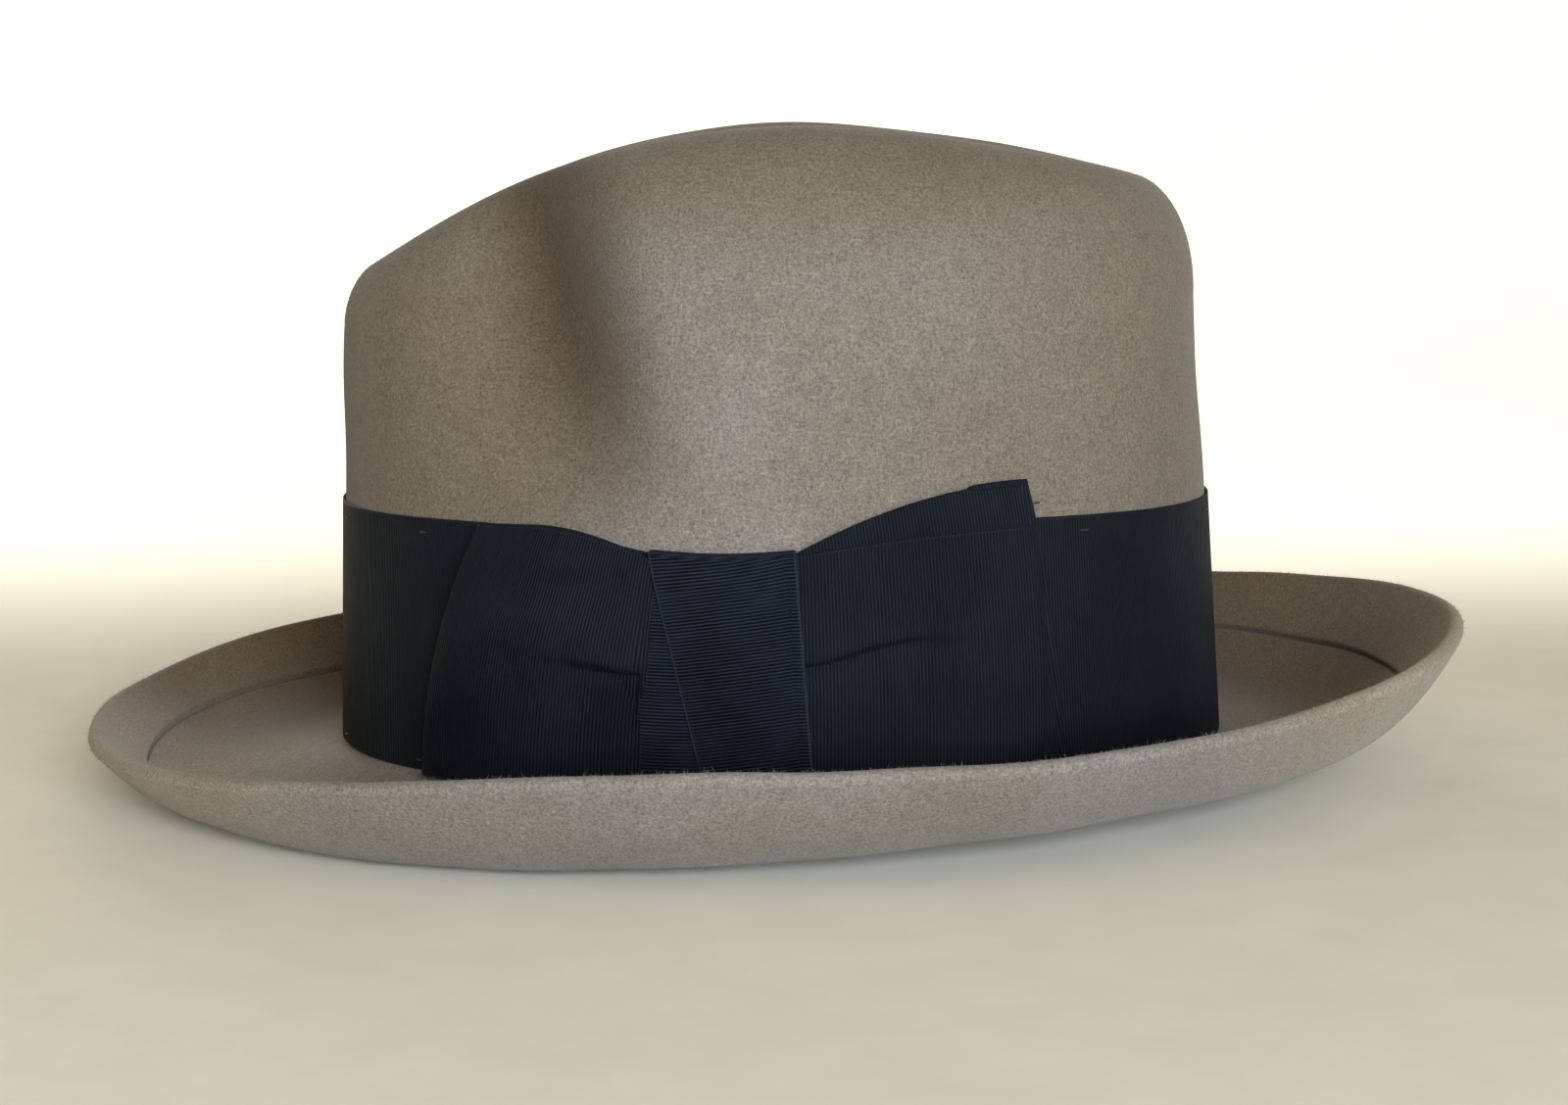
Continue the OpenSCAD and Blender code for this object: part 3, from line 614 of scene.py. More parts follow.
FELT = felt_material("felt_beaver_grey")
NAP = felt_material("felt_nap_hairs", hair=True)
BAND_CLOTH = grosgrain_material("grosgrain_band", (0.0007, 0.0013, 0.0017), (0.0080, 0.0112, 0.0145), 0.055)
BOW_CLOTH = grosgrain_material("grosgrain_bow", (0.0003, 0.0009, 0.0014), (0.0080, 0.0120, 0.0175), 0.0505,
                               folds=True)
# painted highlight: the knot and the wedge beside it get a brighter, more contrasty copy of the bow's
# grosgrain
LIT_KNOT_CLOTH = grosgrain_material("grosgrain_knot_lit", (0.0002, 0.0006, 0.0011), (0.0165, 0.0240, 0.037), 0.029,
                                cords=2.4)
BROWN_CLOTH = grosgrain_material("inner_bow_ribbon", (0.05, 0.022, 0.01), (0.15, 0.075, 0.036), 0.007,
                                 pitch=0.0005)
LEATHER = leather_material()
SATIN = satin_material("lining_satin", (0.36, 0.27, 0.16), (0.62, 0.51, 0.36))
PIPING = thread_material("lining_piping_cord", (0.12, 0.07, 0.035), (0.3, 0.2, 0.11), 0.0022)
THREAD = thread_material("cotton_thread", (0.42, 0.35, 0.24), (0.72, 0.64, 0.5))
DARK_THREAD = thread_material("dark_thread", (0.001, 0.002, 0.003), (0.008, 0.012, 0.016))
TAPE = tape_material()
REED = reed_material()


def piece(ob, material, slot, *nodes):
    """Gives a mesh its material and hides the CAD nodes it stands for; slot is not used."""
    ob.data.materials.append(material)
    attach(ob, "root")
    if nodes:
        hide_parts(*nodes)


# ---- camera ----
# the image's width and the focal length in pixels of that width; the place in metres; angles in degrees
PIXELS, FOCAL = 1600, 3238.6
CAMERA_AT = (0.7395, -0.00836, 0.1469)
CAMERA_YAW, CAMERA_PITCH, CAMERA_ROLL = -0.72, 8.11, 0.45


def photo_camera():
    yaw, pitch, roll = (math.radians(x) for x in (CAMERA_YAW, CAMERA_PITCH, CAMERA_ROLL))
    ahead = Vector((-math.cos(yaw) * math.cos(pitch), -math.sin(yaw) * math.cos(pitch), -math.sin(pitch)))
    level = ahead.cross(Vector((0, 0, 1))).normalized()
    upright = level.cross(ahead)
    right = level * math.cos(roll) - upright * math.sin(roll)
    up = upright * math.cos(roll) + level * math.sin(roll)
    data = bpy.data.cameras.new("camera")
    data.sensor_width = 36
    data.lens = FOCAL / PIXELS * 36
    camera = bpy.data.objects.new("camera", data)
    turn = Matrix((right, up, -ahead)).transposed().to_4x4()
    camera.matrix_world = Matrix.Translation(CAMERA_AT) @ turn
    bpy.context.scene.collection.objects.link(camera)
    return camera


bpy.context.scene.camera = photo_camera()

# ---- felt ----
AROUND = 480
ROUND_T = np.arange(AROUND) * 360 / AROUND
EDGE_MID, EDGE_R = (WELT_T - FELT_T) / 2, (WELT_T + FELT_T) / 2
# the slit between the brim and the folded welt, then the welt's lip: steps along and off the brim
SLIT = ((-0.45, 0.0), (-0.32, -0.3), (-0.15, -0.85), (0.28, -0.85), (0.34, 0.2), (0.28, 0.8),
        (0.34, 1.2), (0.6, 1.48), (1.1, 1.58))
RIM_HAIRS, CROWN_HAIRS, HAIR_R = 8500, 7000, 0.028


def rings(shape, values):
    return np.stack([shape(ROUND_T, s) for s in values])


def felt_hat_body():
    crown_v = np.concatenate([np.linspace(2.985, 2.0, 34), np.linspace(1.97, 1.0, 42),
                              np.linspace(0.97, 0.04, 44)])
    skin = np.concatenate([rings(crown, crown_v), rings(brim_break, np.linspace(0, 1, 9)),
                           rings(brim, np.linspace(0.045, WELT_AT - 0.012, 34))])
    welt = rings(brim, np.linspace(WELT_AT, 1, 16))
    skin_out, welt_out = normals(skin), normals(welt)
    along = unit(np.gradient(welt, axis=0))
    slit = [welt[0] + along[0] * a + welt_out[0] * d for a, d in SLIT]
    rim = [welt[-1] + welt_out[-1] * (EDGE_MID + EDGE_R * math.sin(f)) + along[-1] * EDGE_R * math.cos(f)
           for f in np.radians(np.linspace(80, -80, 11))]
    inner = (np.concatenate([skin, welt]) - np.concatenate([skin_out, welt_out]) * FELT_T)[::-1]
    outer = [skin, slit, welt[2:] + welt_out[2:] * WELT_T, rim]
    pole = crown(0.0, 3.0)
    return shell("felt_hat_body", np.concatenate([*outer, inner]), pole, pole - (0, 0, FELT_T))


def hairs(name, root, out, length, radius):
    """Single fibres that stand off the felt: thin three-sided spikes with a bend."""
    n = len(root)
    lean = unit(out + rng.normal(size=(n, 3)) * 0.55)
    tip = root + lean * length[:, None] + rng.normal(size=(n, 3)) * length[:, None] * 0.16
    side = unit(np.cross(lean, rng.normal(size=(n, 3)))) * radius
    back = unit(np.cross(lean, side)) * radius
    base = root - out * 0.12
    mid = (base + tip) / 2 + rng.normal(size=(n, 3)) * length[:, None] * 0.07
    corners = ((side, 0 * back), (-side / 2, back), (-side / 2, -back))
    low, high = [base + p + q for p, q in corners], [mid + (p + q) * 0.8 for p, q in corners]
    verts = np.stack([*low, *high, tip], 1)
    one = np.array([[0, 1, 4, 3], [1, 2, 5, 4], [2, 0, 3, 5],
                    [3, 4, 6, 6], [4, 5, 6, 6], [5, 3, 6, 6], [2, 1, 0, 0]])
    faces = (one[None] + (np.arange(n) * 7)[:, None, None]).reshape(-1, 4)
    return make(name, verts.reshape(-1, 3), faces)


def rim_point(t, f):
    """A point on the rounded rim and its outward direction; f turns from the edge, 0, to the top, 90."""
    p = brim(t, 1.0)
    along = unit(p - brim(t, 0.98))
    n = unit(np.cross(brim(t + 0.2, 1.0) - p, along))
    n = n * np.sign(n[..., 2:])
    out = unit(n * sind(f)[:, None] + along * cosd(f)[:, None])
    return p + n * EDGE_MID + out * EDGE_R, out


def crown_point(t, v):
    p = crown(t, v)
    return p, unit(np.cross(crown(t + 0.5, v) - p, crown(t, v + 0.01) - p))


def felt_nap():
    rim, rim_out = rim_point(rng.uniform(0, 360, RIM_HAIRS), rng.uniform(-70, 110, RIM_HAIRS))
    top, top_out = crown_point(rng.uniform(0, 360, CROWN_HAIRS), rng.uniform(0.66, 2.1, CROWN_HAIRS))
    length = np.concatenate([rng.gamma(4.0, 0.15, RIM_HAIRS), rng.gamma(3.0, 0.12, CROWN_HAIRS)])
    return hairs("felt_nap", np.concatenate([rim, top]), np.concatenate([rim_out, top_out]), length, HAIR_R)


felt = felt_hat_body()
piece(felt, FELT, "felt", "felt_body")
piece(felt_nap(), NAP, "felt")


# ---- grosgrain band ----
TACK_T = (40, 75, 105, 140, 180, 220, 255, 285, 310)


def band_bottom(t):
    return by_side(BREAK_Z, t) + BAND_LOW


def band_top(t):
    t = np.where(t > 180, t - 360, t)
    return band_bottom(t) + BAND_H - 8 * np.exp(-(((t - KNOT_MID) / 18) ** 2))


def edged(n, fine=0.012):
    """Shares from 0 to 1 with a few close steps at each end."""
    ends = np.array([0, fine * 0.4, fine])
    return np.concatenate([ends, np.linspace(fine * 2.5, 1 - fine * 2.5, n), 1 - ends[::-1]])


def walked(p):
    """Lengths along the middle of a strip, in mm."""
    m = p[:, p.shape[1] // 2]
    return np.concatenate([[0], np.cumsum(np.linalg.norm(np.diff(m, axis=0), axis=-1))])


def band_grosgrain():
    t = (KNOT_MID + 2.5 + 355 * np.linspace(0, 1, 900))[:, None]
    a = edged(22)[None]
    z = mix(band_top(t), band_bottom(t), a)
    ripple = 0.10 * sind(t * 7 + z * 1.6) * np.sin(np.pi * a) + 0.06 * sind(t * 17 - z * 2.3)
    p = on_wall(t, z, GAP + RIBBON_T / 2 + 0.16 + ripple)
    return strip("band_grosgrain", p, RIBBON_T, walked(p)[:, None], a * BAND_H)


def band_tack_stitches():
    t = np.repeat(TACK_T, 2).astype(float)
    z = band_bottom(t) + np.tile([2, BAND_H - 3], len(TACK_T))
    paths = stitch_paths(on_wall(t - 0.7, z, 0.72), on_wall(t + 0.7, z, 0.72), outward(t) * 0.3)
    return tubes("band_tack_stitches", paths, 0.22)


band = band_grosgrain()
piece(band, BAND_CLOTH, "grosgrain", "band_ribbon")
piece(band_tack_stitches(), DARK_THREAD, "dark_thread", "band_tacks")

# ---- bow ----
KNOT_SHARE = 0.24
LOOP_D, LOOP_LIFT, BELLY = 2.95, 1.04, 2.5
LOOP_ROWS = 110
TUCK = 0.4
# the knot's front and back edges at its top, then at its bottom
KNOT_T = (-16.0, 1.2, -9.0, 3.0)
KNOT_RUNS = 70
# each tack: angle, height, side of the edge that it holds, distance off the felt
BOW_TACKS = ((31.9, 12, 1, LOOP_D), (31.9, 50, 1, LOOP_D), (32.2, 62, 1, 1.6), (-46.8, 12, -1, LOOP_D),
             (-42.4, 46, -1, LOOP_D))


def bow_bottom(t):
    return by_side(BREAK_Z, t) + 1.5


def knot_top(t):
    return KNOT_H + by_side(BREAK_Z, t)


def fan_top(t):
    return knot_top(t) + 14.5 * arch((t - 1) / 31)


def rear_top(t):
    return knot_top(t) - TUCK + 5.6 * arch((t - 1) / 31)


def front_top(t):
    return knot_top(t) - TUCK + 6.8 * sind(90 * clamp01((-16 - t) / 15))


def fan_layer(name, back, d, top):
    """One cut end of ribbon fanned out behind the loop, its edge leaning back towards the brim."""
    a, x = edged(60, 0.006)[None], np.concatenate([np.linspace(0, 0.985, 90), [0.993, 0.998, 1]])[:, None]
    edge_t = mix(31.0 - back, 35.0 - back, arch(a * 1.05))
    t = mix(-6.0, edge_t, x)
    z = mix(top(t), bow_bottom(t), a)
    wave = 0.22 * ease((t - 10) / 22) * (1 + sind(z * 4 + t * 6))
    lean = (z - 30) * 0.125
    return strip(name, on_wall(t, z, d + wave), RIBBON_T, t * MM_PER_DEG + lean, (1 - a) * 48 + 1.2 + 0 * t)


def loop(name, t_in, fold_t, top, shape):
    """A loop of ribbon: out along the front, round the fold, and back underneath. shape moves the
    front layer: it takes t, z and the share along, and gives how far out and how far up."""
    q = np.linspace(0, 90, 110)
    length = abs(fold_t(0.5) - t_in) * MM_PER_DEG
    turn_q = np.linspace(0, 180, 9)[1:-1]
    back = np.linspace(1, 0, 40)
    r = LOOP_LIFT / 2
    # each row: share along the loop, height over its back layer, and how far shape acts
    tip = 1 + r / length * sind(turn_q)
    share = np.concatenate([[0, 0.08, 0.16], mix(KNOT_SHARE, 1, sind(q)), tip, back])
    high = np.concatenate([[LOOP_LIFT] * 3, LOOP_LIFT + BELLY * sind(2 * q), r + r * cosd(turn_q), 0 * back])
    front = np.concatenate([np.ones(3 + len(q)), clamp01(1 - turn_q / 60), 0 * back])
    along = np.concatenate([[0], np.cumsum(np.hypot(np.diff(share) * length, np.diff(high)))])
    share, high, front, along = (row[:, None] for row in (share, high, front, along))
    a = edged(LOOP_ROWS, 0.004)[None]
    t = t_in + (fold_t(a) - t_in) * share
    z = mix(top(t), bow_bottom(t), a)
    out, rise = shape(t, z, share)
    fade = front * ease((1.02 - share) / 0.12) * np.sin(np.pi * clamp01(a)) ** 0.25
    p = on_wall(t, z + rise * fade, LOOP_D + high + out * fade)
    return strip(name, p, RIBBON_T, along + 0 * a, (1 - a) * 50 + 0.2 + 0 * t)


def fold_line(z, s, line, reach, out, dent, roll):
    """A soft crease that starts at the knot, s mm away, and dies out: the cloth above it rolls over
    the line and the cloth below it sinks in."""
    strength = ease(s / 1.5) * np.exp(-((np.maximum(s, 0) / reach) ** 2))
    k = (z - line) / 0.9
    over = 0.5 + 0.5 * np.tanh(k)
    above = out * np.exp(-np.maximum(z - line, 0) / roll)
    below = -dent * np.exp(-np.maximum(line - z, 0) / 6.5)
    return strength * mix(below, above, over), -strength * 0.7 * np.tanh(k) * np.exp(-((k / 3.2) ** 2))


def front_shape(t, z, share):
    s = (-16.8 - t) * MM_PER_DEG
    out, rise = fold_line(z, s, 28.3 + 0.16 * s, 11, 2.3, 3.2, 8.0)
    out = out + 1.15 * np.exp(-(((z - 35) / 10) ** 2)) * ease(s / 8) * ease((40 - s) / 22)
    out = out - 0.9 * np.exp(-(((z - 46) / 6) ** 2)) * ease(s / 6)
    out = out - 1.3 * np.exp(-(((z - 9) / 8) ** 2)) * ease((s - 22) / 16)
    return out, rise


def rear_shape(t, z, share):
    s = (t - 2.2) * MM_PER_DEG
    line = 30.2 + 5.4 * np.sin(np.clip(s / 25, 0, 1.25) * np.pi / 2) ** 1.4
    out, rise = fold_line(z, s, line, 21, 1.0, 1.8, 8.0)
    return out - 0.54 * ease(share) + 0.35 * sind(z * 5 + t * 4) * ease(s / 10), rise


def bow_knot_under():
    """The wedge of ribbon that shows beside the knot."""
    a, x = edged(50, 0.006)[None], edged(10, 0.02)[:, None]
    t = mix(mix(-16.2, -17.5, a), KNOT_MID - 2, x)
    z = mix(knot_top(t) - TUCK, bow_bottom(t) - 0.2, a)
    d = 6.2 * LAYER + 0.15 + 0.45 * np.sin(np.pi * x) - 0.5 * (1 - x) ** 3 - 0.5 * (1 - ease(a / 0.12))
    p = on_wall(t, z, d).transpose(1, 0, 2)
    return strip("bow_knot_under_ribbon", p, RIBBON_T, z.T, ((t + 17.6) * MM_PER_DEG + 0.4).T)


def bow_knot():
    """The knot goes down the front, round the bottom, and up behind the bow."""
    front_d, back_d = 7.6 * LAYER + 0.25, LAYER + GAP + 0.25
    low, high = float(bow_bottom(0.0)) - 0.6, float(knot_top(0.0)) + 0.4
    mid_d, half_d = (front_d + back_d) / 2, (front_d - back_d) / 2
    turn = np.linspace(0, 180, 15)[1:-1]
    down, back = np.linspace(0, 1, KNOT_RUNS), np.linspace(0, 1, 24)
    z = np.concatenate([mix(high, low, down), low - 0.8 * sind(turn),
                        mix(low, high, back), high + 0.8 * sind(turn)])[:, None]
    d = np.concatenate([0 * down + front_d, mid_d + half_d * cosd(turn),
                        0 * back + back_d, mid_d - half_d * cosd(turn)])[:, None]
    face = np.concatenate([0 * down + 1, clamp01(1 - turn / 90), 0 * back, clamp01(turn / 90 - 1)])[:, None]
    k = edged(40, 0.012)[None]
    s = clamp01((high - z) / (high - low))
    front_t, back_t = mix(KNOT_T[0], KNOT_T[2], s), mix(KNOT_T[1], KNOT_T[3], s)
    wide = (back_t - front_t) * MM_PER_DEG
    swell = 0.45 * np.sin(np.pi * clamp01(k)) ** 0.7 - 0.35 * np.exp(-((((1 - k) * wide - 2.1) / 0.35) ** 2))
    tuck = 0.55 * (ease(s / 0.1) - 1) + 0.25 * sind(z * 9 + k * 150) * np.sin(np.pi * s)
    sag = -0.7 * np.sin(np.pi * clamp01(k)) * (1 - ease(s / 0.2))
    p = on_wall(mix(front_t, back_t, k), z + sag, d + (swell + tuck) * face)
    ribs = walked(p)[:, None] + 0.14 * np.minimum(k * wide, wide - 2.0)
    return strip("bow_knot_ribbon", p, RIBBON_T, ribs, k * 29 + 0 * wide, closed=True)


def bow_tack_stitches():
    t, z, side, d = np.array(BOW_TACKS).T
    start, finish = on_wall(t - side * 0.2, z, d), on_wall(t + side, z, np.full(len(t), 0.8))
    lift = np.tile([0.25, 0.0, 0.0], (len(t), 1))
    return tubes("bow_tack_stitches", stitch_paths(start, finish, lift), 0.2)


fan = fan_layer("bow_fan_back", 0.0, 1.5, lambda t: fan_top(t) - 0.6 + 1.0 * ease((t - 22.2) / 1.2))
fan_front = fan_layer("bow_fan_front", 1.1, 2.15, lambda t: fan_top(t) - 0.7 * ease((t - 22.8) / 1.4))
front_loop = loop("bow_loop_front_ribbon", KNOT_MID - 1, lambda a: mix(-38.5, -47.0, arch(a)), front_top,
                  front_shape)
rear_loop = loop("bow_loop_rear_ribbon", KNOT_MID + 1, lambda a: 31.1 + 0.8 * np.sin(np.pi * a), rear_top,
                 rear_shape)
knot_under = bow_knot_under()
knot = bow_knot()
piece(fan, BOW_CLOTH, "grosgrain", "bow_fan")
piece(fan_front, BOW_CLOTH, "grosgrain")
piece(front_loop, BOW_CLOTH, "grosgrain", "bow_loop_front")
piece(rear_loop, BOW_CLOTH, "grosgrain", "bow_loop_rear")
piece(knot_under, LIT_KNOT_CLOTH, "grosgrain", "bow_knot_under")
piece(knot, LIT_KNOT_CLOTH, "grosgrain", "bow_knot")
piece(bow_tack_stitches(), DARK_THREAD, "dark_thread", "bow_tacks")

# ---- sweatband ----
# how far the reed, the leather's foot and its upper part lie inside the felt's outer skin
REED_IN = REED_GAP + TAPE_T + REED_D / 2
FOOT_IN = REED_GAP + 2 * TAPE_T + REED_D + GAP
TOP_IN = FELT_T + 3 * GAP + LINING_T
OPEN_ROUND_T = np.linspace(90.5, 449.5, 481)
ROW_STITCHES, SEAM_STITCHES = 150, 7


def sweat_z(t, s):
    return by_side(BREAK_Z, t) + SWEAT_LOW + SWEAT_H * s


def sweat_in(s):
    return mix(FOOT_IN, TOP_IN, ease((s - 0.1) * 3))


def reed_z(t):
    return by_side(BREAK_Z, t) + SWEAT_LOW + 1.4


def sweatband_leather():
    t = OPEN_ROUND_T[:, None]
    s = 1 - edged(44, 0.006)[None]
    # two pressed lines run along the upper edge
    groove = sum(0.22 * np.exp(-(((s - at) * SWEAT_H / 0.45) ** 2)) for at in (0.9, 0.87))
    soft = 0.16 * (1 + sind(t * 5 + s * 190)) * ease((s - 0.3) / 0.5)
    p = on_wall(t, sweat_z(t, s), -(sweat_in(s) + LEATHER_T / 2 + 0.05 + soft - groove))
    return strip("sweatband_leather_strip", p, LEATHER_T - 0.1, walked(p)[:, None], s * SWEAT_H, crisp=60)


def sweatband_reed():
    path = on_wall(OPEN_ROUND_T, reed_z(OPEN_ROUND_T), np.full(len(OPEN_ROUND_T), -REED_IN))
    return tubes("sweatband_reed_rod", [path], REED_D / 2, 12)


def reed_tape():
    """The tape comes down outside the reed, goes under it, and up again inside."""
    t = OPEN_ROUND_T[:, None]
    r = REED_D / 2 + GAP / 2 + TAPE_T / 2
    f = np.linspace(0, 180, 13)
    high = np.concatenate([np.linspace(7, 0.7, 8), -r * sind(f), np.linspace(0.5, 3.4, 4)])
    inward = np.concatenate([np.full(8, -r), -r * cosd(f), np.full(4, r)])
    across = np.concatenate([[0], np.cumsum(np.hypot(np.diff(high), np.diff(inward)))])
    p = on_wall(t, reed_z(t) + high, -REED_IN - inward + 0 * t)
    return strip("reed_tape_cloth", p, TAPE_T - 0.04, walked(p)[:, None], across, crisp=60)


def row_stitches():
    t = 92 + 356 * np.arange(ROW_STITCHES) / ROW_STITCHES
    z, d = sweat_z(t, 0.06), np.full(ROW_STITCHES, -sweat_in(0.06) - LEATHER_T - 0.02)
    paths = stitch_paths(on_wall(t, z, d), on_wall(t + 1.3, z, d), -outward(t) * 0.25)
    return tubes("sweatband_row_stitches", paths, 0.24)


def back_seam():
    """Zigzag stitches that join the two ends of the sweatband."""
    s = 0.12 + 0.045 * np.repeat(np.arange(SEAM_STITCHES), 2)
    e = np.tile([-1, 1], SEAM_STITCHES)
    d = -sweat_in(s) - LEATHER_T - 0.3 * (e + 1.2)
    start = on_wall(90.0 - e * 1.3, sweat_z(90.0, s), d)
    finish = on_wall(90.0 + e * 1.3, sweat_z(90.0, s + 0.04), d)
    return tubes("sweatband_seam_stitches", stitch_paths(start, finish, vec(0.0, -0.3 + 0 * s, 0.0)), 0.24)


sweatband = sweatband_leather()
reed = sweatband_reed()
tape = reed_tape()
piece(sweatband, LEATHER, "leather", "sweatband")
piece(reed, REED, "reed", "sweatband_reed")
piece(tape, TAPE, "tape", "reed_tape")
piece(row_stitches(), THREAD, "thread", "sweatband_stitches")
piece(back_seam(), THREAD, "thread", "sweatband_back_seam")

# ---- the small bow on the back of the sweatband ----
TINY_W, TINY_T = 7.0, 0.35
TINY_Z = float(sweat_z(90.0, 0.56))
TINY_IN = TOP_IN + LEATHER_T + GAP + 0.25 + TINY_T + 0.9
ACROSS = np.linspace(-1, 1, 13)[None]


def inner_bow_loop(name, e):
    """One loop of the small bow; e is -1 or 1, the side on which it lies."""
    f = (np.arange(64) * 360 / 64)[:, None]
    reach = 0.54 - 0.46 * cosd(f)
    half = TINY_W / 2 * mix(0.5, 1, sind(90 * reach))
    z = TINY_Z + ACROSS * half + 0.3 * sind(f) * ACROSS**2
    p = on_wall(90 + e * 7.0 * reach + 0 * ACROSS, z, -(TINY_IN + 0.85 * sind(f) * e + 0.12 * ACROSS**2))
    return strip(name, p, TINY_T - 0.05, walked(p)[:, None], (ACROSS + 1) * TINY_W / 2, closed=True)


def inner_bow_knot():
    f = (np.arange(40) * 360 / 40)[:, None]
    z = TINY_Z + 2.7 * np.sign(sind(f)) * np.abs(sind(f)) ** 0.7 * (1 - 0.12 * ACROSS**2)
    p = on_wall(90 + 0.95 * ACROSS + 0 * f, z, -(TINY_IN + 1.45 * cosd(f) - 0.15 * ACROSS**2))
    return strip("inner_bow_knot", p, TINY_T - 0.05, walked(p)[:, None], ACROSS * 1.6 + 3.5, closed=True)


piece(inner_bow_loop("inner_bow_loop_left", -1), BROWN_CLOTH, "inner_ribbon", "sweatband_bow_loops")
piece(inner_bow_loop("inner_bow_loop_right", 1), BROWN_CLOTH, "inner_ribbon")
piece(inner_bow_knot(), BROWN_CLOTH, "inner_ribbon", "sweatband_bow_knot")

# ---- lining ----
TIP_V, END_V = 1.72, 0.26
LINING_IN = FELT_T + 0.3
SIDE_ROWS, TIP_ROWS = 70, 60


def lining(values, d):
    """Rings of the crown's shape, moved in by d from the felt's outer skin."""
    p = rings(crown, values)
    return p - normals(p) * np.asarray(d)[..., None]


def lining_side_satin():
    v, hump = np.linspace(TIP_V - 0.008, END_V, SIDE_ROWS), np.sin(np.pi * np.linspace(0, 1, SIDE_ROWS))
    pleats = 0.5 + 0.5 * sind(ROUND_T * 44 + 40 * sind(ROUND_T * 5) + 30 * sind(ROUND_T * 11))
    slack = 0.5 + 0.5 * sind(ROUND_T * 9 + 60 * sind(ROUND_T * 2))
    gathers = 1.1 * np.exp(-((TIP_V - v) / 0.28))[:, None] * pleats
    folds = gathers + 0.35 * hump[:, None] * slack
    p = lining(v, LINING_IN + LINING_T / 2 + folds).transpose(1, 0, 2)
    across = np.linspace(100, 0, SIDE_ROWS)
    return strip("lining_side_satin", p, LINING_T - 0.05, walked(p)[:, None], across, closed=True, crisp=60)


def lining_tip_satin():
    v, hump = np.linspace(2.985, TIP_V, TIP_ROWS), np.sin(np.pi * np.linspace(0, 1, TIP_ROWS))
    puff = 0.25 * (1 + sind(ROUND_T * 6 + 20)) * hump[:, None]
    upper, lower = lining(v, LINING_IN + puff), lining(v, LINING_IN + LINING_T + puff)[::-1]
    pole = crown(0.0, 3.0) - (0, 0, LINING_IN)
    return shell("lining_tip_satin", np.concatenate([upper, lower]), pole, pole - (0, 0, LINING_T))


def lining_piping():
    path = lining([TIP_V + 0.01, TIP_V, TIP_V - 0.01], LINING_IN + LINING_T + 0.95)[1]
    return tubes("lining_piping_cord", [path], 0.8, 12, closed=True)


lining_side = lining_side_satin()
lining_tip = lining_tip_satin()
piece(lining_side, SATIN, "satin", "lining_side")
piece(lining_tip, SATIN, "satin", "lining_tip")
piece(lining_piping(), PIPING, "piping", "lining_piping")

# ---- floor and backdrop, in metres ----
FLAT_R, BEND_R, WALL_TOP = 1.1, 0.9, 2.4
BOWL_COLS = 96


def backdrop_paper():
    g = Graph("backdrop_paper")
    at = g.place()
    grain = g.noise(at, 60, 3, 0.5)
    x, y, z = g.add("ShaderNodeSeparateXYZ", {0: at}).outputs
    # the wall behind the hat glows a little, to be as pale as the photo's
    glow = g.times(g.fade(x, -0.1, -0.45, 0.0, 0.8), g.fade(z, 0.3, 0.7, 1.0, 0.0))
    glow = g.times(glow, g.fade(g.math("ABSOLUTE", y), 0.55, 1.1, 1.0, 0.0))
    g.tree.links.new(glow, g.bsdf.inputs["Emission Strength"])
    g.bsdf.inputs["Emission Color"].default_value = (1.0, 0.95, 0.82, 1)
    # clear from its outer side, so that views from below see the hat
    outer_side = g.add("ShaderNodeNewGeometry").outputs["Backfacing"]
    g.tree.links.new(g.math("SUBTRACT", 1.0, outer_side), g.bsdf.inputs["Alpha"])
    colour = g.colours(grain, (0.3, (0.83, 0.82, 0.74)), (0.7, (0.87, 0.86, 0.78)))
    return g.done(colour, g.span(grain, 0, 1, 0.85, 0.95), g.bump(grain, 0.0002, 0.2))


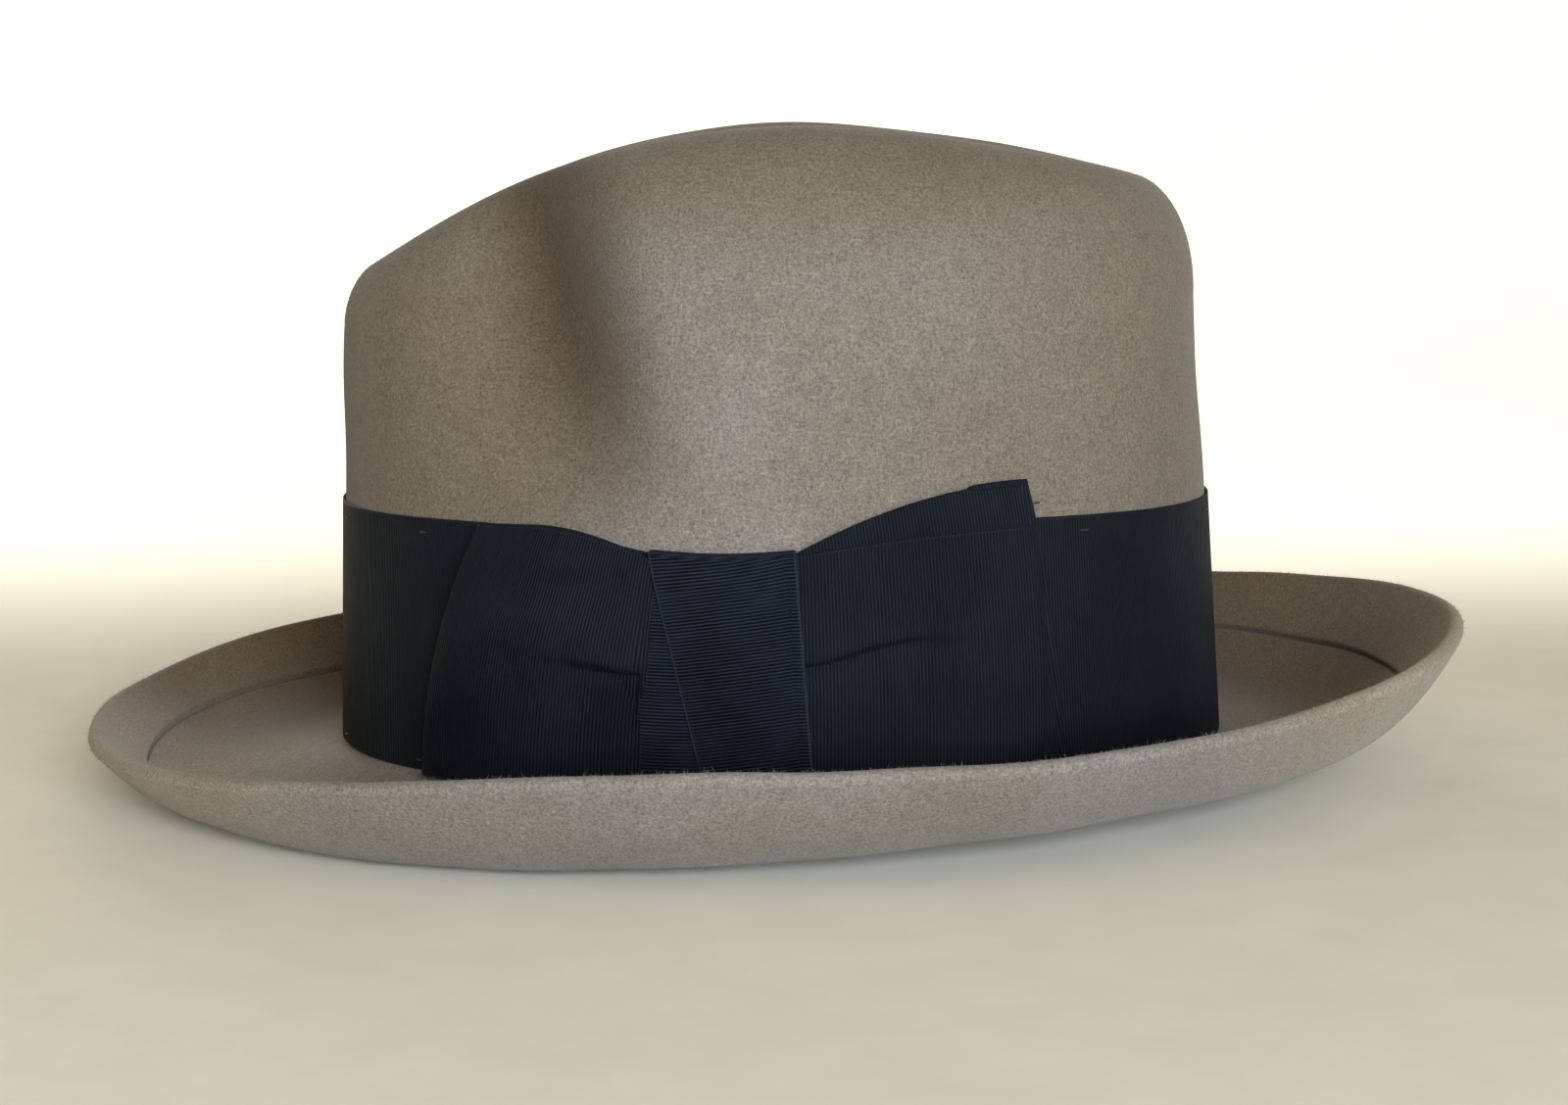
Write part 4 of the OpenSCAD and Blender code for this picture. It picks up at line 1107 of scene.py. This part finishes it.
def backdrop_bowl(floor_z):
    """A round floor that bends up into a wall all round."""
    floor = [(x, 0.0) for x in np.linspace(0.05, FLAT_R, 22)]
    bend = [(FLAT_R + BEND_R * math.sin(f), BEND_R - BEND_R * math.cos(f))
            for f in np.radians(np.arange(6, 91, 6))]
    upright = [(FLAT_R + BEND_R, z) for z in np.linspace(1.0, WALL_TOP, 6)]
    profile = np.array(floor + bend + upright)
    t = np.arange(BOWL_COLS) * 360 / BOWL_COLS
    bowl = vec(profile[:, :1] * cosd(t), profile[:, :1] * sind(t), profile[:, 1:] + floor_z) * 1000
    j = np.arange(BOWL_COLS)
    middle = np.stack([0 * j, 1 + (j + 1) % BOWL_COLS, 1 + j, 1 + j], -1)
    ob = make("backdrop", np.concatenate([[(0, 0, floor_z * 1000)], bowl.reshape(-1, 3)]),
              np.concatenate([ring_faces(len(profile), BOWL_COLS), middle]))
    if ob.data.polygons[-1].normal.z < 0:
        ob.data.flip_normals()
    ob.data.materials.append(backdrop_paper())
    return ob


backdrop = backdrop_bowl(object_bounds()[0][2] - 0.0002)

# ---- lights ----
HAT_MIDDLE = (0, 0, 0.07)


def light(name, power, size, place, target, colour, spread=180):
    data = bpy.data.lights.new(name, "AREA")
    data.spread = math.radians(spread)
    data.energy = power
    data.size = size
    data.color = colour
    ob = bpy.data.objects.new(name, data)
    ob.location = place
    ob.rotation_euler = (Vector(target) - Vector(place)).to_track_quat("-Z", "Y").to_euler()
    ob.visible_camera = False
    bpy.context.scene.collection.objects.link(ob)


def studio_world():
    world = bpy.data.worlds.new("studio")
    world.use_nodes = True
    sky = world.node_tree.nodes["Background"].inputs
    sky[0].default_value = (1.0, 0.76, 0.46, 1)
    sky[1].default_value = 0.26
    return world


light("key", 8.4, 0.7, (1.56, 0.34, 0.28), HAT_MIDDLE, (0.90, 0.96, 1.0), 70)
light("low_fill", 2.5, 0.4, (1.2, 0.0, 0.22), (0, 0, 0.0), (0.92, 0.97, 1.0))
light("back_fill", 2.2, 0.9, (-1.5, -0.3, 0.25), HAT_MIDDLE, (1.0, 0.93, 0.82), 75)
light("warm_side", 1.2, 0.9, (0.5, -1.5, 0.4), HAT_MIDDLE, (1.0, 0.76, 0.45))
bpy.context.scene.world = studio_world()
bpy.context.scene.view_settings.view_transform = "Standard"
